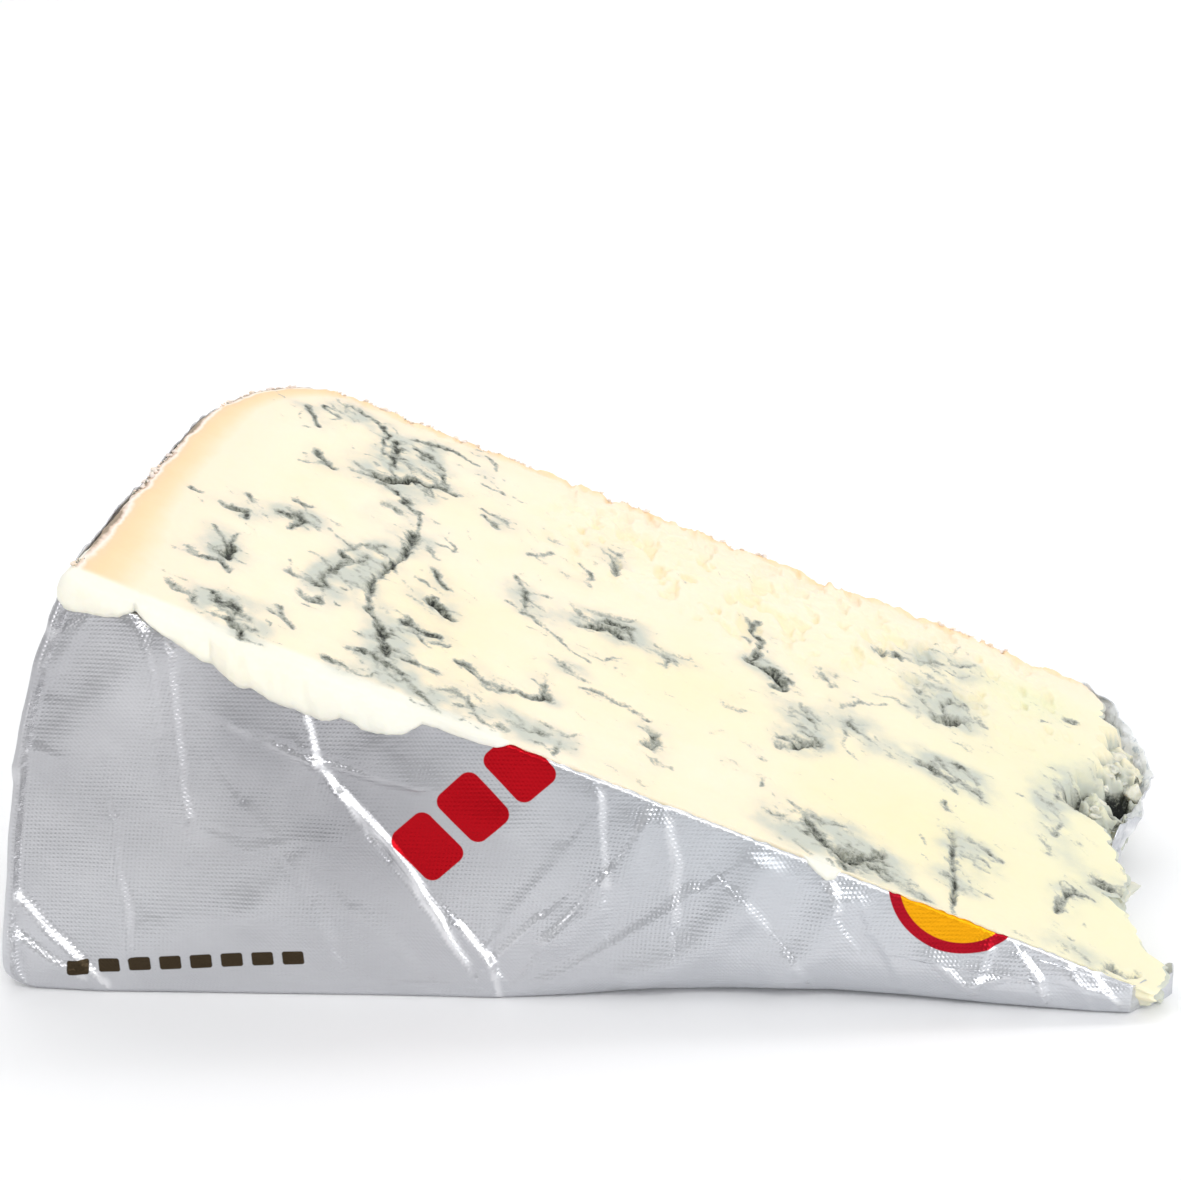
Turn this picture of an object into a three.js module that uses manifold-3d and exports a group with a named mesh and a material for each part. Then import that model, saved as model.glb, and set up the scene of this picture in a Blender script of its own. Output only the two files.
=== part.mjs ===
// A wedge of blue-veined cheese in its foil, cut from half a wheel and lying on one of its cut sides.
// Millimetres. +X runs from the rind to the tip, +Y from the printed flat side to the wheel's natural
// flat side, and +Z up. Everything is first laid out with the wheel's axis along Y through x = 0 and
// z = 0, at the wedge's tip. The finished part stands on z = 0, centred over the origin.
import * as THREE from "three";
import { mergeVertices } from "three/addons/utils/BufferGeometryUtils.js";
import Module from "manifold-3d";

const wasm = await Module();
wasm.setup();

// ---- Driving dimensions ----
const WHEEL_RADIUS = 149.5;
const SLICE_DEPTH = 77.5; // the half wheel's height, which lies along Y here
const RIM_ROUNDING = { depth: 30, radius: 16 }; // from the rind side to the natural flat side
const PRINTED_EDGE_ROUNDING = 1.6; // from the rind side to the printed flat side
const FOOT_ROUNDING = 5; // where the rind side meets the side the wedge lies on
const CUT_SLOPE = 0.39; // the upper cut face rises this much for each mm from the tip to the rind
const CUT_LIFT = 0.2025; // and this much for each mm from the printed side to the natural side
const TIP_HEIGHT = 2.3; // height of the cut face at the tip, on the printed side
const TIP_RETREAT = 2.5; // how far the broken tip stops short of the wheel's axis

const FOIL_THICKNESS = 0.5;
const FOIL_GAP = 0.4; // air between the cheese and the foil
const FOIL_OUTSIDE = FOIL_GAP + FOIL_THICKNESS;

const STEPS = { length: 44, depth: 28, height: 6 }; // alike for both bodies, so the facets lie parallel
const SUNK = 1; // the bodies are first made this much too deep, then cut off level

// ---- Small helpers ----
const bell = (distance, width) => Math.exp(-((distance / width) ** 2));
const plateau = (distance, width) => Math.exp(-((distance / width) ** 4));
const radians = THREE.MathUtils.degToRad;
const smooth = (from, to, value) => THREE.MathUtils.smoothstep(value, from, to);

// A seeded source of numbers from 0 to 1.
function seededRandom(seed) {
  let state = seed;
  return () => {
    state = (state * 1664525 + 1013904223) % 4294967296;
    return state / 4294967296;
  };
}

// Uneven waves between -1 and 1 along one line, for torn and broken edges.
const ragged = (s) =>
  0.5 * Math.sin(s * 0.83 + 0.4) +
  0.3 * Math.sin(s * 1.97 + 1.3) +
  0.2 * Math.sin(s * 3.41 + 2.2);

// A closed geometry as a manifold-3d solid, and back.
function toSolid(geometry) {
  const bare = geometry.clone();
  bare.deleteAttribute("normal");
  bare.deleteAttribute("uv");
  const merged = mergeVertices(bare, 1e-4);
  return new wasm.Manifold(
    new wasm.Mesh({
      numProp: 3,
      vertProperties: merged.attributes.position.array,
      triVerts: new Uint32Array(merged.index.array),
    }),
  );
}

function toGeometry(solid) {
  const mesh = solid.getMesh();
  const geometry = new THREE.BufferGeometry();
  geometry.setAttribute("position", new THREE.BufferAttribute(mesh.vertProperties, 3));
  geometry.setIndex(new THREE.BufferAttribute(mesh.triVerts, 1));
  geometry.computeVertexNormals();
  return geometry;
}

// A finely divided unit box whose every vertex (each coordinate from 0 to 1) is sent to shape(u, v, w).
function mappedBox(shape) {
  const box = new THREE.BoxGeometry(1, 1, 1, STEPS.length, STEPS.depth, STEPS.height);
  const position = box.attributes.position;
  for (let i = 0; i < position.count; i++) {
    const unit = new THREE.Vector3().fromBufferAttribute(position, i).addScalar(0.5);
    position.setXYZ(i, ...shape(unit.x, unit.y, unit.z));
  }
  return box;
}

// ---- The wedge's main form ----
const cutHeight = (x, y) => TIP_HEIGHT - CUT_SLOPE * x + CUT_LIFT * y;

// The wheel's outline at a share v of its depth, grown outwards: its place along Y, and its radius there.
function rimOutline(v, grow) {
  const start = -grow;
  const end = SLICE_DEPTH + grow;
  const nearRounding = PRINTED_EDGE_ROUNDING + grow;
  const nearShare = 2 / STEPS.depth;
  const farShare = 11 / STEPS.depth;
  const radius = WHEEL_RADIUS + grow;
  if (v < nearShare) {
    const turn = ((v / nearShare) * Math.PI) / 2;
    return {
      y: start + nearRounding * (1 - Math.cos(turn)),
      radius: radius - nearRounding * (1 - Math.sin(turn)),
    };
  }
  if (v > 1 - farShare) {
    const turn = (((v - 1 + farShare) / farShare) * Math.PI) / 2;
    return {
      y: end - (RIM_ROUNDING.depth + grow) * (1 - Math.sin(turn)),
      radius: radius - (RIM_ROUNDING.radius + grow) * (1 - Math.cos(turn)),
    };
  }
  const along = (v - nearShare) / (1 - nearShare - farShare);
  return {
    y: THREE.MathUtils.lerp(start + nearRounding, end - RIM_ROUNDING.depth - grow, along),
    radius,
  };
}

// The point of the wedge at shares u from rind to tip, v along the depth and t from the foot to the top.
// The top lies raise above the cut plane, and tip(y, w) says where the tip end is.
function wedgePoint(u, v, t, { grow, raise, tip }) {
  const w = t ** 1.5; // more of the steps near the rounded foot
  const { y, radius } = rimOutline(v, grow);
  const foot = -grow - SUNK;
  const slope = w * CUT_SLOPE;
  const base = (1 - w) * foot + w * (cutHeight(0, y) + raise);
  const under = slope * slope * base * base - (1 + slope * slope) * (base * base - radius * radius);
  let reach = (Math.sqrt(under) - slope * base) / (1 + slope * slope);
  const height = Math.max(0, base + slope * reach + grow);
  const rounding = FOOT_ROUNDING + grow;
  if (height < rounding) reach -= rounding - Math.sqrt(rounding ** 2 - (rounding - height) ** 2);
  const end = tip(y, w);
  const x = -reach + u * (reach + end);
  return [x, y, base - slope * x];
}

// Everything above a level, to cut a sunk body off with.
function above(level) {
  const side = 4 * WHEEL_RADIUS;
  return toSolid(new THREE.BoxGeometry(side, side, side).translate(0, 0, level + side / 2));
}

// Joins rings of equal length into one closed body, with a fan over each end ring.
function loft(rings) {
  const count = rings[0].length;
  const positions = rings.flat(2);
  const middle = (ring) =>
    [0, 1, 2].map((axis) => ring.reduce((sum, point) => sum + point[axis], 0) / count);
  positions.push(...middle(rings[0]), ...middle(rings[rings.length - 1]));
  const firstMiddle = rings.length * count;
  const index = [];
  for (let i = 0; i < count; i++) {
    const next = (i + 1) % count;
    for (let ring = 0; ring < rings.length - 1; ring++) {
      const a = ring * count;
      const b = a + count;
      index.push(a + i, a + next, b + i, b + i, a + next, b + next);
    }
    const last = (rings.length - 1) * count;
    index.push(firstMiddle, next, i, firstMiddle + 1, last + i, last + next);
  }
  const geometry = new THREE.BufferGeometry();
  geometry.setAttribute("position", new THREE.Float32BufferAttribute(positions, 3));
  geometry.setIndex(index);
  return geometry;
}

// ---- Relief of the cut face ----
// Hollows and clefts that mould has eaten into the paste, going from the rind to the tip:
// centre in x and y, half length, half width, depth, and turn in degrees.
const HOLLOWS = [
  [-107.5, 56.3, 3.4, 2.0, 3.4, 15],
  [-102.5, 60.2, 4.4, 1.0, 2.0, 12],
  [-103.5, 68.0, 3.6, 0.9, 1.6, -38],
  [-112.5, 72.8, 4.2, 0.8, 1.4, -40],
  [-120.5, 68.0, 2.8, 0.8, 1.3, -60],
  [-117.5, 55.6, 2.4, 0.8, 1.2, -45],
  [-123.5, 19.5, 1.8, 1.4, 1.8, 40],
  [-125.0, 31.8, 2.6, 0.7, 1.0, 0],
  [-117.5, 2.6, 2.2, 1.0, 1.6, 10],
  [-95.5, 25.7, 2.4, 1.5, 2.4, -35],
  [-97.5, 44.0, 2.6, 0.9, 1.6, 60],
  [-91.5, 57.8, 2.6, 0.9, 1.5, -10],
  [-84.5, 37.8, 4.0, 1.3, 1.8, 55],
  [-79.0, 60.8, 4.6, 0.9, 1.7, 12],
  [-78.0, 51.5, 2.8, 0.9, 1.4, -65],
  [-74.0, 39.0, 4.2, 2.6, 2.2, 10],
  [-80.5, 14.6, 2.4, 1.2, 1.6, 70],
  [-73.0, 21.0, 3.2, 1.0, 1.5, 8],
  [-64.0, 36.5, 2.8, 1.0, 1.5, 35],
  [-66.0, 14.0, 2.2, 1.1, 1.5, 80],
  [-53.3, 52.0, 6.4, 1.0, 2.0, 84],
  [-50.8, 43.8, 3.4, 1.3, 2.4, -18],
  [-46.8, 27.6, 3.8, 1.4, 2.4, 38],
  [-41.0, 4.4, 4.6, 2.4, 3.0, 15],
  [-43.0, 48.5, 2.2, 0.7, 1.3, -55],
  [-35.5, 38.0, 5.0, 1.0, 1.6, 38],
  [-27.0, 35.0, 4.2, 1.6, 2.0, -20],
  [-24.7, 49.6, 3.2, 2.4, 4.2, 0],
  [-24.0, 64.0, 5.4, 0.9, 1.3, 60],
  [-22.5, 17.0, 3.2, 1.2, 1.8, -25],
  [-11.0, 14.2, 3.4, 1.2, 2.2, 60],
];

// Needle channels, which run along the wheel's axis: where each lies, its sway, and its two ends.
const CHANNELS = [
  { x: -103.2, sway: 1.6, from: 8, to: 51 },
  { x: -26.5, sway: 0.2, from: -3, to: 21 },
];
const CHANNEL_WIDTH = 1.1; // half width
const CHANNEL_DEPTH = 2.0;
const SWAY_LENGTH = 34;

const alongCut = new THREE.Matrix4().lookAt(
  new THREE.Vector3(CUT_SLOPE, -CUT_LIFT, 1),
  new THREE.Vector3(),
  new THREE.Vector3(0, 1, 0),
);

function hollow([x, y, long, wide, deep, turn], random) {
  const ball = new THREE.IcosahedronGeometry(1, 1);
  const geometry = mergeVertices(ball.deleteAttribute("uv").deleteAttribute("normal"));
  const position = geometry.attributes.position;
  for (let i = 0; i < position.count; i++) {
    const uneven = 0.85 + 0.3 * random();
    position.setXYZ(i, position.getX(i) * uneven, position.getY(i) * uneven, position.getZ(i));
  }
  geometry.scale(long, wide, deep).rotateZ(radians(turn)).applyMatrix4(alongCut);
  return geometry.translate(x, y, cutHeight(x, y));
}

function channel({ x, sway, from, to }) {
  const rings = [];
  const steps = Math.round((to - from) / 3);
  for (let i = 0; i <= steps; i++) {
    const y = THREE.MathUtils.lerp(from, to, i / steps);
    const middle = x + sway * Math.sin(((y - SWAY_LENGTH) * 2 * Math.PI) / SWAY_LENGTH);
    const thinning = Math.sin((Math.PI * (i + 0.5)) / (steps + 1)) ** 0.5;
    const ring = [];
    for (let corner = 0; corner < 6; corner++) {
      const angle = (-corner * Math.PI) / 3;
      const across = CHANNEL_WIDTH * thinning * Math.cos(angle);
      ring.push([middle + across, y, cutHeight(middle, y) + CHANNEL_DEPTH * thinning * Math.sin(angle)]);
    }
    rings.push(ring);
  }
  return loft(rings);
}

// ---- The cheese ----
// The broken tip: a notch and a wide hollow bite into it, and its upper edge leans out over the rest.
const TIP_BITES = [
  { y: 17.5, width: 2.6, depth: 5 },
  { y: 42, width: 5.5, depth: 6 },
  { y: 71, width: 3.5, depth: 2 },
];
const TIP_OVERHANG = 2.2;

function cheeseTip(y, w) {
  const bites = TIP_BITES.reduce((sum, bite) => sum + bite.depth * plateau(y - bite.y, bite.width), 0);
  return -TIP_RETREAT - bites + 1.1 * ragged(y) + TIP_OVERHANG * (w - 1) * w;
}

function cheeseBody() {
  const form = { grow: 0, raise: 0, tip: cheeseTip };
  const body = mappedBox((u, v, t) => {
    const [x, y, z] = wedgePoint(u, v, t, form);
    const waviness = 0.3 * Math.sin(x * 0.11 + 0.7) * Math.cos(y * 0.09);
    return [x, y, z + (t === 1 ? waviness : 0)];
  });
  return toSolid(body).intersect(above(0));
}

// Soft cheese that the knife dragged over the printed edge, where it hangs down outside the foil.
const LIPS = [
  { from: -138.2, to: -130.6, hang: 3.6, thick: 3.2, sections: 8 },
  { from: -130.0, to: -94.0, hang: 7.2, thick: 2.6, sections: 22 },
];
const LIP_CLEARANCE = FOIL_OUTSIDE + FOIL_GAP;
const LIP_BRIDGE = 1.2; // the lip's thickness where it passes over the foil's edge
const FOIL_DROP_UNDER_LIP = LIP_BRIDGE + FOIL_GAP;

// The lip's section at a place along it, as points (y, z) round it. It thins out towards both ends.
function lipSection(x, { from, to, hang, thick }) {
  const along = (x - from) / (to - from);
  const fullness = Math.sin(Math.PI * along) ** 0.45;
  const uneven = 1 + 0.1 * Math.sin(x * 0.55) + 0.06 * Math.sin(x * 1.3);
  const drop = LIP_BRIDGE + 0.5 + (hang - LIP_BRIDGE) * fullness * uneven;
  const outer = LIP_CLEARANCE + 0.4 + (thick - 0.4) * fullness;
  return [
    [3.0, -LIP_BRIDGE],
    [3.0, -0.2],
    [0.6, 0.35],
    [-0.55 * outer, 0.3],
    [-0.93 * outer, -0.35 * drop],
    [-outer, -0.72 * drop],
    [-0.5 * (outer + LIP_CLEARANCE), -drop],
    [-LIP_CLEARANCE, -0.9 * drop],
    [-LIP_CLEARANCE, -LIP_BRIDGE],
  ];
}

function lip(form) {
  const rings = [];
  for (let i = 0; i <= form.sections; i++) {
    const x = THREE.MathUtils.lerp(form.from, form.to, i / form.sections);
    rings.push(lipSection(x, form).map(([y, z]) => [x, y, cutHeight(x, 0) + z]));
  }
  return loft(rings);
}

// Crumbs fused to the broken tip and along the upper edge of the natural side.
const TIP_CRUMBS = 12;
const EDGE_CRUMBS = 12;

function crumb(x, y, z, size, random) {
  const geometry = new THREE.IcosahedronGeometry(size, 0);
  geometry.rotateX(random() * Math.PI).rotateZ(random() * Math.PI);
  geometry.scale(0.8 + 0.5 * random(), 0.8 + 0.5 * random(), 0.6 + 0.3 * random());
  return geometry.translate(x, y, z);
}

function crumbs() {
  const random = seededRandom(7);
  const made = [];
  for (let i = 0; i < TIP_CRUMBS; i++) {
    const y = 3 + ((SLICE_DEPTH - 8) * (i + 0.6 * random())) / TIP_CRUMBS;
    const x = cheeseTip(y, 1) - 0.9;
    made.push(crumb(x, y, cutHeight(x, y) - 0.8 - random(), 1.4 + random(), random));
  }
  for (let i = 0; i < EDGE_CRUMBS; i++) {
    const x = -112 + (106 * (i + random())) / EDGE_CRUMBS;
    const y = SLICE_DEPTH - 1.6;
    made.push(crumb(x, y, cutHeight(x, y) - 0.1, 0.8 + 0.4 * random(), random));
  }
  return made;
}

function cheeseSolid() {
  const random = seededRandom(3);
  const added = [...LIPS.map(lip), ...crumbs()];
  const removed = [...HOLLOWS.map((row) => hollow(row, random)), ...CHANNELS.map(channel)];
  const whole = added.reduce((solid, piece) => solid.add(toSolid(piece)), cheeseBody());
  return removed.reduce((solid, piece) => solid.subtract(toSolid(piece)), whole);
}

// ---- The foil ----
// Creases standing up from the printed side, each as a line in x and z with its height and half width.
const CREASES = [
  { from: [-109, 33], to: [-98, 20], height: 0.6, width: 1.3 },
  { from: [-99, 21], to: [-94, 11], height: 0.7, width: 1.5 },
  { from: [-95, 13], to: [-86, 2], height: 0.8, width: 1.5 },
  { from: [-88, 11], to: [-86, 4], height: 0.5, width: 1.1 },
  { from: [-147, 10], to: [-138, 3], height: 0.7, width: 1.5 },
  { from: [-72.5, 27], to: [-71.5, 15], height: 0.5, width: 1.2 },
  { from: [-65, 26], to: [-69.5, 11], height: 0.5, width: 1.3 },
];

// The foil is bunched into upright pleats behind the natural half of the tip, and lies flat under the rest.
const PLEAT_START = 36;
const PLEAT_PEAK = 58;
const PLEAT_REACH = 6;
const PLEAT_DEPTH = 1.1;
const FOIL_TIP_RIM = 1.4; // height of the foil's edge where it lies flat under the tip
const CORNER_FLAP = 2.6; // how far the foil sticks out past the tip at its printed corner

function foilTip(y) {
  const bunched = smooth(PLEAT_START - 3, PLEAT_START + 5, y);
  const reach = PLEAT_REACH * bell(y - PLEAT_PEAK, 19);
  const pleats = PLEAT_DEPTH * Math.sin(y * 1.05) * bunched;
  return -0.4 + bunched * reach + pleats + CORNER_FLAP * bell(y, 6);
}

// How far the foil's torn upper edge lies under the cut plane.
function foilDrop(x, y) {
  const torn = 0.9 + 0.35 * ragged(x * 0.9) + 0.35 * ragged(y * 0.7);
  const lipSpan = smooth(-142, -138.5, x) * (1 - smooth(-95, -92, x));
  const underLip = (FOIL_DROP_UNDER_LIP + 0.3 - torn) * lipSpan * (1 - smooth(3, 6, y));
  const flatTip = smooth(-7, -4, x) * smooth(5, 8, y) * (1 - smooth(PLEAT_START - 4, PLEAT_START, y));
  const toFlat = Math.max(0, cutHeight(x, y) - FOIL_TIP_RIM - torn) * flatTip;
  return torn + underLip + toFlat;
}

function crease({ from, to, height, width }) {
  const start = new THREE.Vector2(...from);
  const end = new THREE.Vector2(...to);
  const along = end.clone().sub(start).normalize();
  const across = new THREE.Vector2(-along.y, along.x);
  const rings = [0, 0.2, 0.5, 0.8, 1].map((share) => {
    const fullness = 0.25 + 0.75 * Math.sin(Math.PI * share);
    const middle = start.clone().lerp(end, share);
    const side = across.clone().multiplyScalar(width * fullness);
    const root = -FOIL_OUTSIDE + 0.15;
    return [
      [middle.x + side.x, root, middle.y + side.y],
      [middle.x, -FOIL_OUTSIDE - height * fullness, middle.y],
      [middle.x - side.x, root, middle.y - side.y],
    ];
  });
  return loft(rings);
}

function foilWall(grow, raise, drop) {
  const form = { grow, raise, tip: (y) => foilTip(y) + grow };
  return mappedBox((u, v, t) => {
    const [x, y, z] = wedgePoint(u, v, t, form);
    return [x, y, z - t * drop(x, y)];
  });
}

const CLEAR_OF_THE_TOP = 1.5;

function foilSolid() {
  const outside = toSolid(foilWall(FOIL_OUTSIDE, 0, foilDrop)).intersect(above(-FOIL_OUTSIDE));
  const inside = toSolid(foilWall(FOIL_GAP, CLEAR_OF_THE_TOP, () => 0)).intersect(above(-FOIL_GAP));
  const wall = outside.subtract(inside);
  return CREASES.reduce((solid, line) => solid.add(toSolid(crease(line))), wall);
}

// ---- Materials ----
const pasteMaterial = new THREE.MeshStandardMaterial({ color: 0xf7efcf, roughness: 0.55, metalness: 0 });
const foilMaterial = new THREE.MeshStandardMaterial({ color: 0xc3c2c8, roughness: 0.4, metalness: 0.9 });

// ---- The part ----
function namedMesh(name, solid, material) {
  const mesh = new THREE.Mesh(toGeometry(solid), material);
  mesh.name = name;
  return mesh;
}

const layout = new THREE.Group();
layout.add(namedMesh("cheese", cheeseSolid(), pasteMaterial));
layout.add(namedMesh("foil_wrap", foilSolid(), foilMaterial));

const box = new THREE.Box3().setFromObject(layout, true);
const middle = box.getCenter(new THREE.Vector3());
layout.position.set(-middle.x, -middle.y, -box.min.z);

const wedge = new THREE.Group();
wedge.add(layout);

export default wedge;
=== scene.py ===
# %% [markdown]
# # A wedge of blue cheese in its foil
#
# A half wheel of soft blue cheese is wrapped in embossed foil, and a shop cuts wedges from it with a
# wire or a long knife. This wedge lies on one of its cut sides. Its other cut side is bare and faces up,
# so the whole story of the cheese is there: cream paste, mould in clefts and needle channels, and a
# peach-coloured rind. This lesson builds the paste as one fine mesh, the foil as a thin sheet, and a few
# crumbs, and gives each a material made of nodes.
#
# The model to dress is already packed as solids.

import math

import bpy
import numpy as np
from mathutils import Matrix, Vector


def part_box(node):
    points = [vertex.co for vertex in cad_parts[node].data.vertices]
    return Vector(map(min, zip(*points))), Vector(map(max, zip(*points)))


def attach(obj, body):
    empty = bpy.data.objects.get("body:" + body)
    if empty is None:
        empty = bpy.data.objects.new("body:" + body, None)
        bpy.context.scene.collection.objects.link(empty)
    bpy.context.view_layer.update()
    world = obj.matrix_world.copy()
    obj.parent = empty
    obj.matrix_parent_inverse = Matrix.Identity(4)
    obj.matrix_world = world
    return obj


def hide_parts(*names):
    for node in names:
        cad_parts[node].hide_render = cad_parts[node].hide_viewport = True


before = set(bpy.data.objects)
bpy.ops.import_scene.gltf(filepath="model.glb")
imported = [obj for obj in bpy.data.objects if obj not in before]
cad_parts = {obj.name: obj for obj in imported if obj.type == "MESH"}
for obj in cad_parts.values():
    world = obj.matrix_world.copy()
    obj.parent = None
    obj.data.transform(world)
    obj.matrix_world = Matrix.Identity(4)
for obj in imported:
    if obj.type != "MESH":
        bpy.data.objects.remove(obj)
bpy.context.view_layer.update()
print("solids:", sorted(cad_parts))

# %% [markdown]
# ## Sizes
#
# All lengths are millimetres until the moment a mesh is made. The wheel's axis lies along Y through
# x = 0 and z = 0, which is also the wedge's tip, so the rind is an arc about it. The cut face is a plane
# that climbs towards the rind, and a little towards the far side.

# %% Sizes of the wedge
WHEEL_RADIUS = 149.5
SLICE_DEPTH = 77.5  # the half wheel's height, from its cut side to its natural flat side
RIM_DEPTH, RIM_INSET = 30.0, 16.0  # the long rounding from the rind side to the natural flat side
NEAR_ROUNDING = 0.4  # the crisp rounding from the printed flat side to the rind side
FOOT_ROUNDING = 3.0  # the rounding under the rind, where the wedge stands on its foil
CUT_SLOPE, CUT_LIFT = 0.39, 0.2025  # the cut plane's climb towards the rind, and towards the far side
TIP_HEIGHT = 2.3
FOIL_OUTSIDE = 0.9  # the foil's outer face, outside the solid cheese

low, high = (np.array(corner) * 1000 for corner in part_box("foil_wrap"))
SHIFT = np.array([low[0] + WHEEL_RADIUS + FOIL_OUTSIDE, high[1] - SLICE_DEPTH - FOIL_OUTSIDE, FOIL_OUTSIDE])
print("from the sketch to the frame, mm:", np.round(SHIFT, 2))


def cut_height(x, y):
    """Height of the bare cut plane over the sketch's floor."""
    return TIP_HEIGHT - CUT_SLOPE * x + CUT_LIFT * y


# %% [markdown]
# ## The camera
#
# The camera looks down on the wedge by some 15 degrees, a little from the right. Its turn is built
# from three angles, so that each one can be read and changed.

# %% Camera
CAMERA_AT = np.array([-45.9, -287.2, 135.0])
PITCH, YAW, ROLL = (math.radians(angle) for angle in (15.55, 5.36, -0.75))
FOCAL_LENGTH, SENSOR = 73.16, 36.0

forward = np.array([-math.sin(YAW) * math.cos(PITCH), math.cos(YAW) * math.cos(PITCH), -math.sin(PITCH)])
level = np.array([math.cos(YAW), math.sin(YAW), 0.0])
upright = np.cross(level, forward)
right = level * math.cos(ROLL) + upright * math.sin(ROLL)
up = upright * math.cos(ROLL) - level * math.sin(ROLL)

camera_data = bpy.data.cameras.new("camera")
camera_data.sensor_width = SENSOR
camera_data.lens = FOCAL_LENGTH
camera_data.clip_start, camera_data.clip_end = 0.01, 10
camera = bpy.data.objects.new("camera", camera_data)
bpy.context.scene.collection.objects.link(camera)
turn = Matrix([[right[i], up[i], -forward[i]] for i in range(3)]).to_4x4()
camera.matrix_world = Matrix.Translation(((CAMERA_AT + SHIFT) / 1000).tolist()) @ turn
bpy.context.scene.camera = camera
print("camera at", [round(value, 3) for value in camera.location])

# %% [markdown]
# ## Noise to break things up
#
# Cheese has no straight edge and foil no flat spot, so most shapes below are bent by smooth noise. The
# noise is a small table of seeded random numbers, blended between its entries. It gives the same values
# on every run, which a lesson and a re-render both need.


# %% Noise helpers
NOISE_CELLS = 61  # cells along each side of the table, after which the noise repeats


def step_between(start, end, value):
    """0 before start, 1 after end, and a smooth climb between them. The start may be the larger one."""
    share = np.clip((value - start) / (end - start), 0, 1)
    return share * share * (3 - 2 * share)


def noise(x, y, size, seed):
    """Smooth bumps from 0 to 1, about size millimetres apart."""
    table = np.random.default_rng(seed).random((NOISE_CELLS, NOISE_CELLS))
    gx, gy = np.asarray(x) / size + 17.3, np.asarray(y) / size + 5.9
    ix, iy = np.floor(gx).astype(int), np.floor(gy).astype(int)
    fx, fy = gx - ix, gy - iy
    fx, fy = fx * fx * (3 - 2 * fx), fy * fy * (3 - 2 * fy)
    next_x, next_y = (ix + 1) % NOISE_CELLS, (iy + 1) % NOISE_CELLS
    ix, iy = ix % NOISE_CELLS, iy % NOISE_CELLS
    a, b, c, d = table[ix, iy], table[next_x, iy], table[ix, next_y], table[next_x, next_y]
    return (a * (1 - fx) + b * fx) * (1 - fy) + (c * (1 - fx) + d * fx) * fy


def rough_noise(x, y, size, seed, layers=3):
    """Noise with finer noise on top, still from 0 to 1."""
    parts = [noise(x, y, size / 2**i, seed + i) * 0.5**i for i in range(layers)]
    return sum(parts) / sum(0.5**i for i in range(layers))


def crumple(x, y, size, seed):
    """Sharp little ridges between dents, as in handled foil, from 0 to 1."""
    large, middling, small = (
        1 - np.abs(2 * noise(x, y, size * scale, seed + i) - 1) for i, scale in enumerate((1, 0.63, 0.4))
    )
    return (large + 0.6 * middling + 0.35 * small) / 1.95
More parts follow.
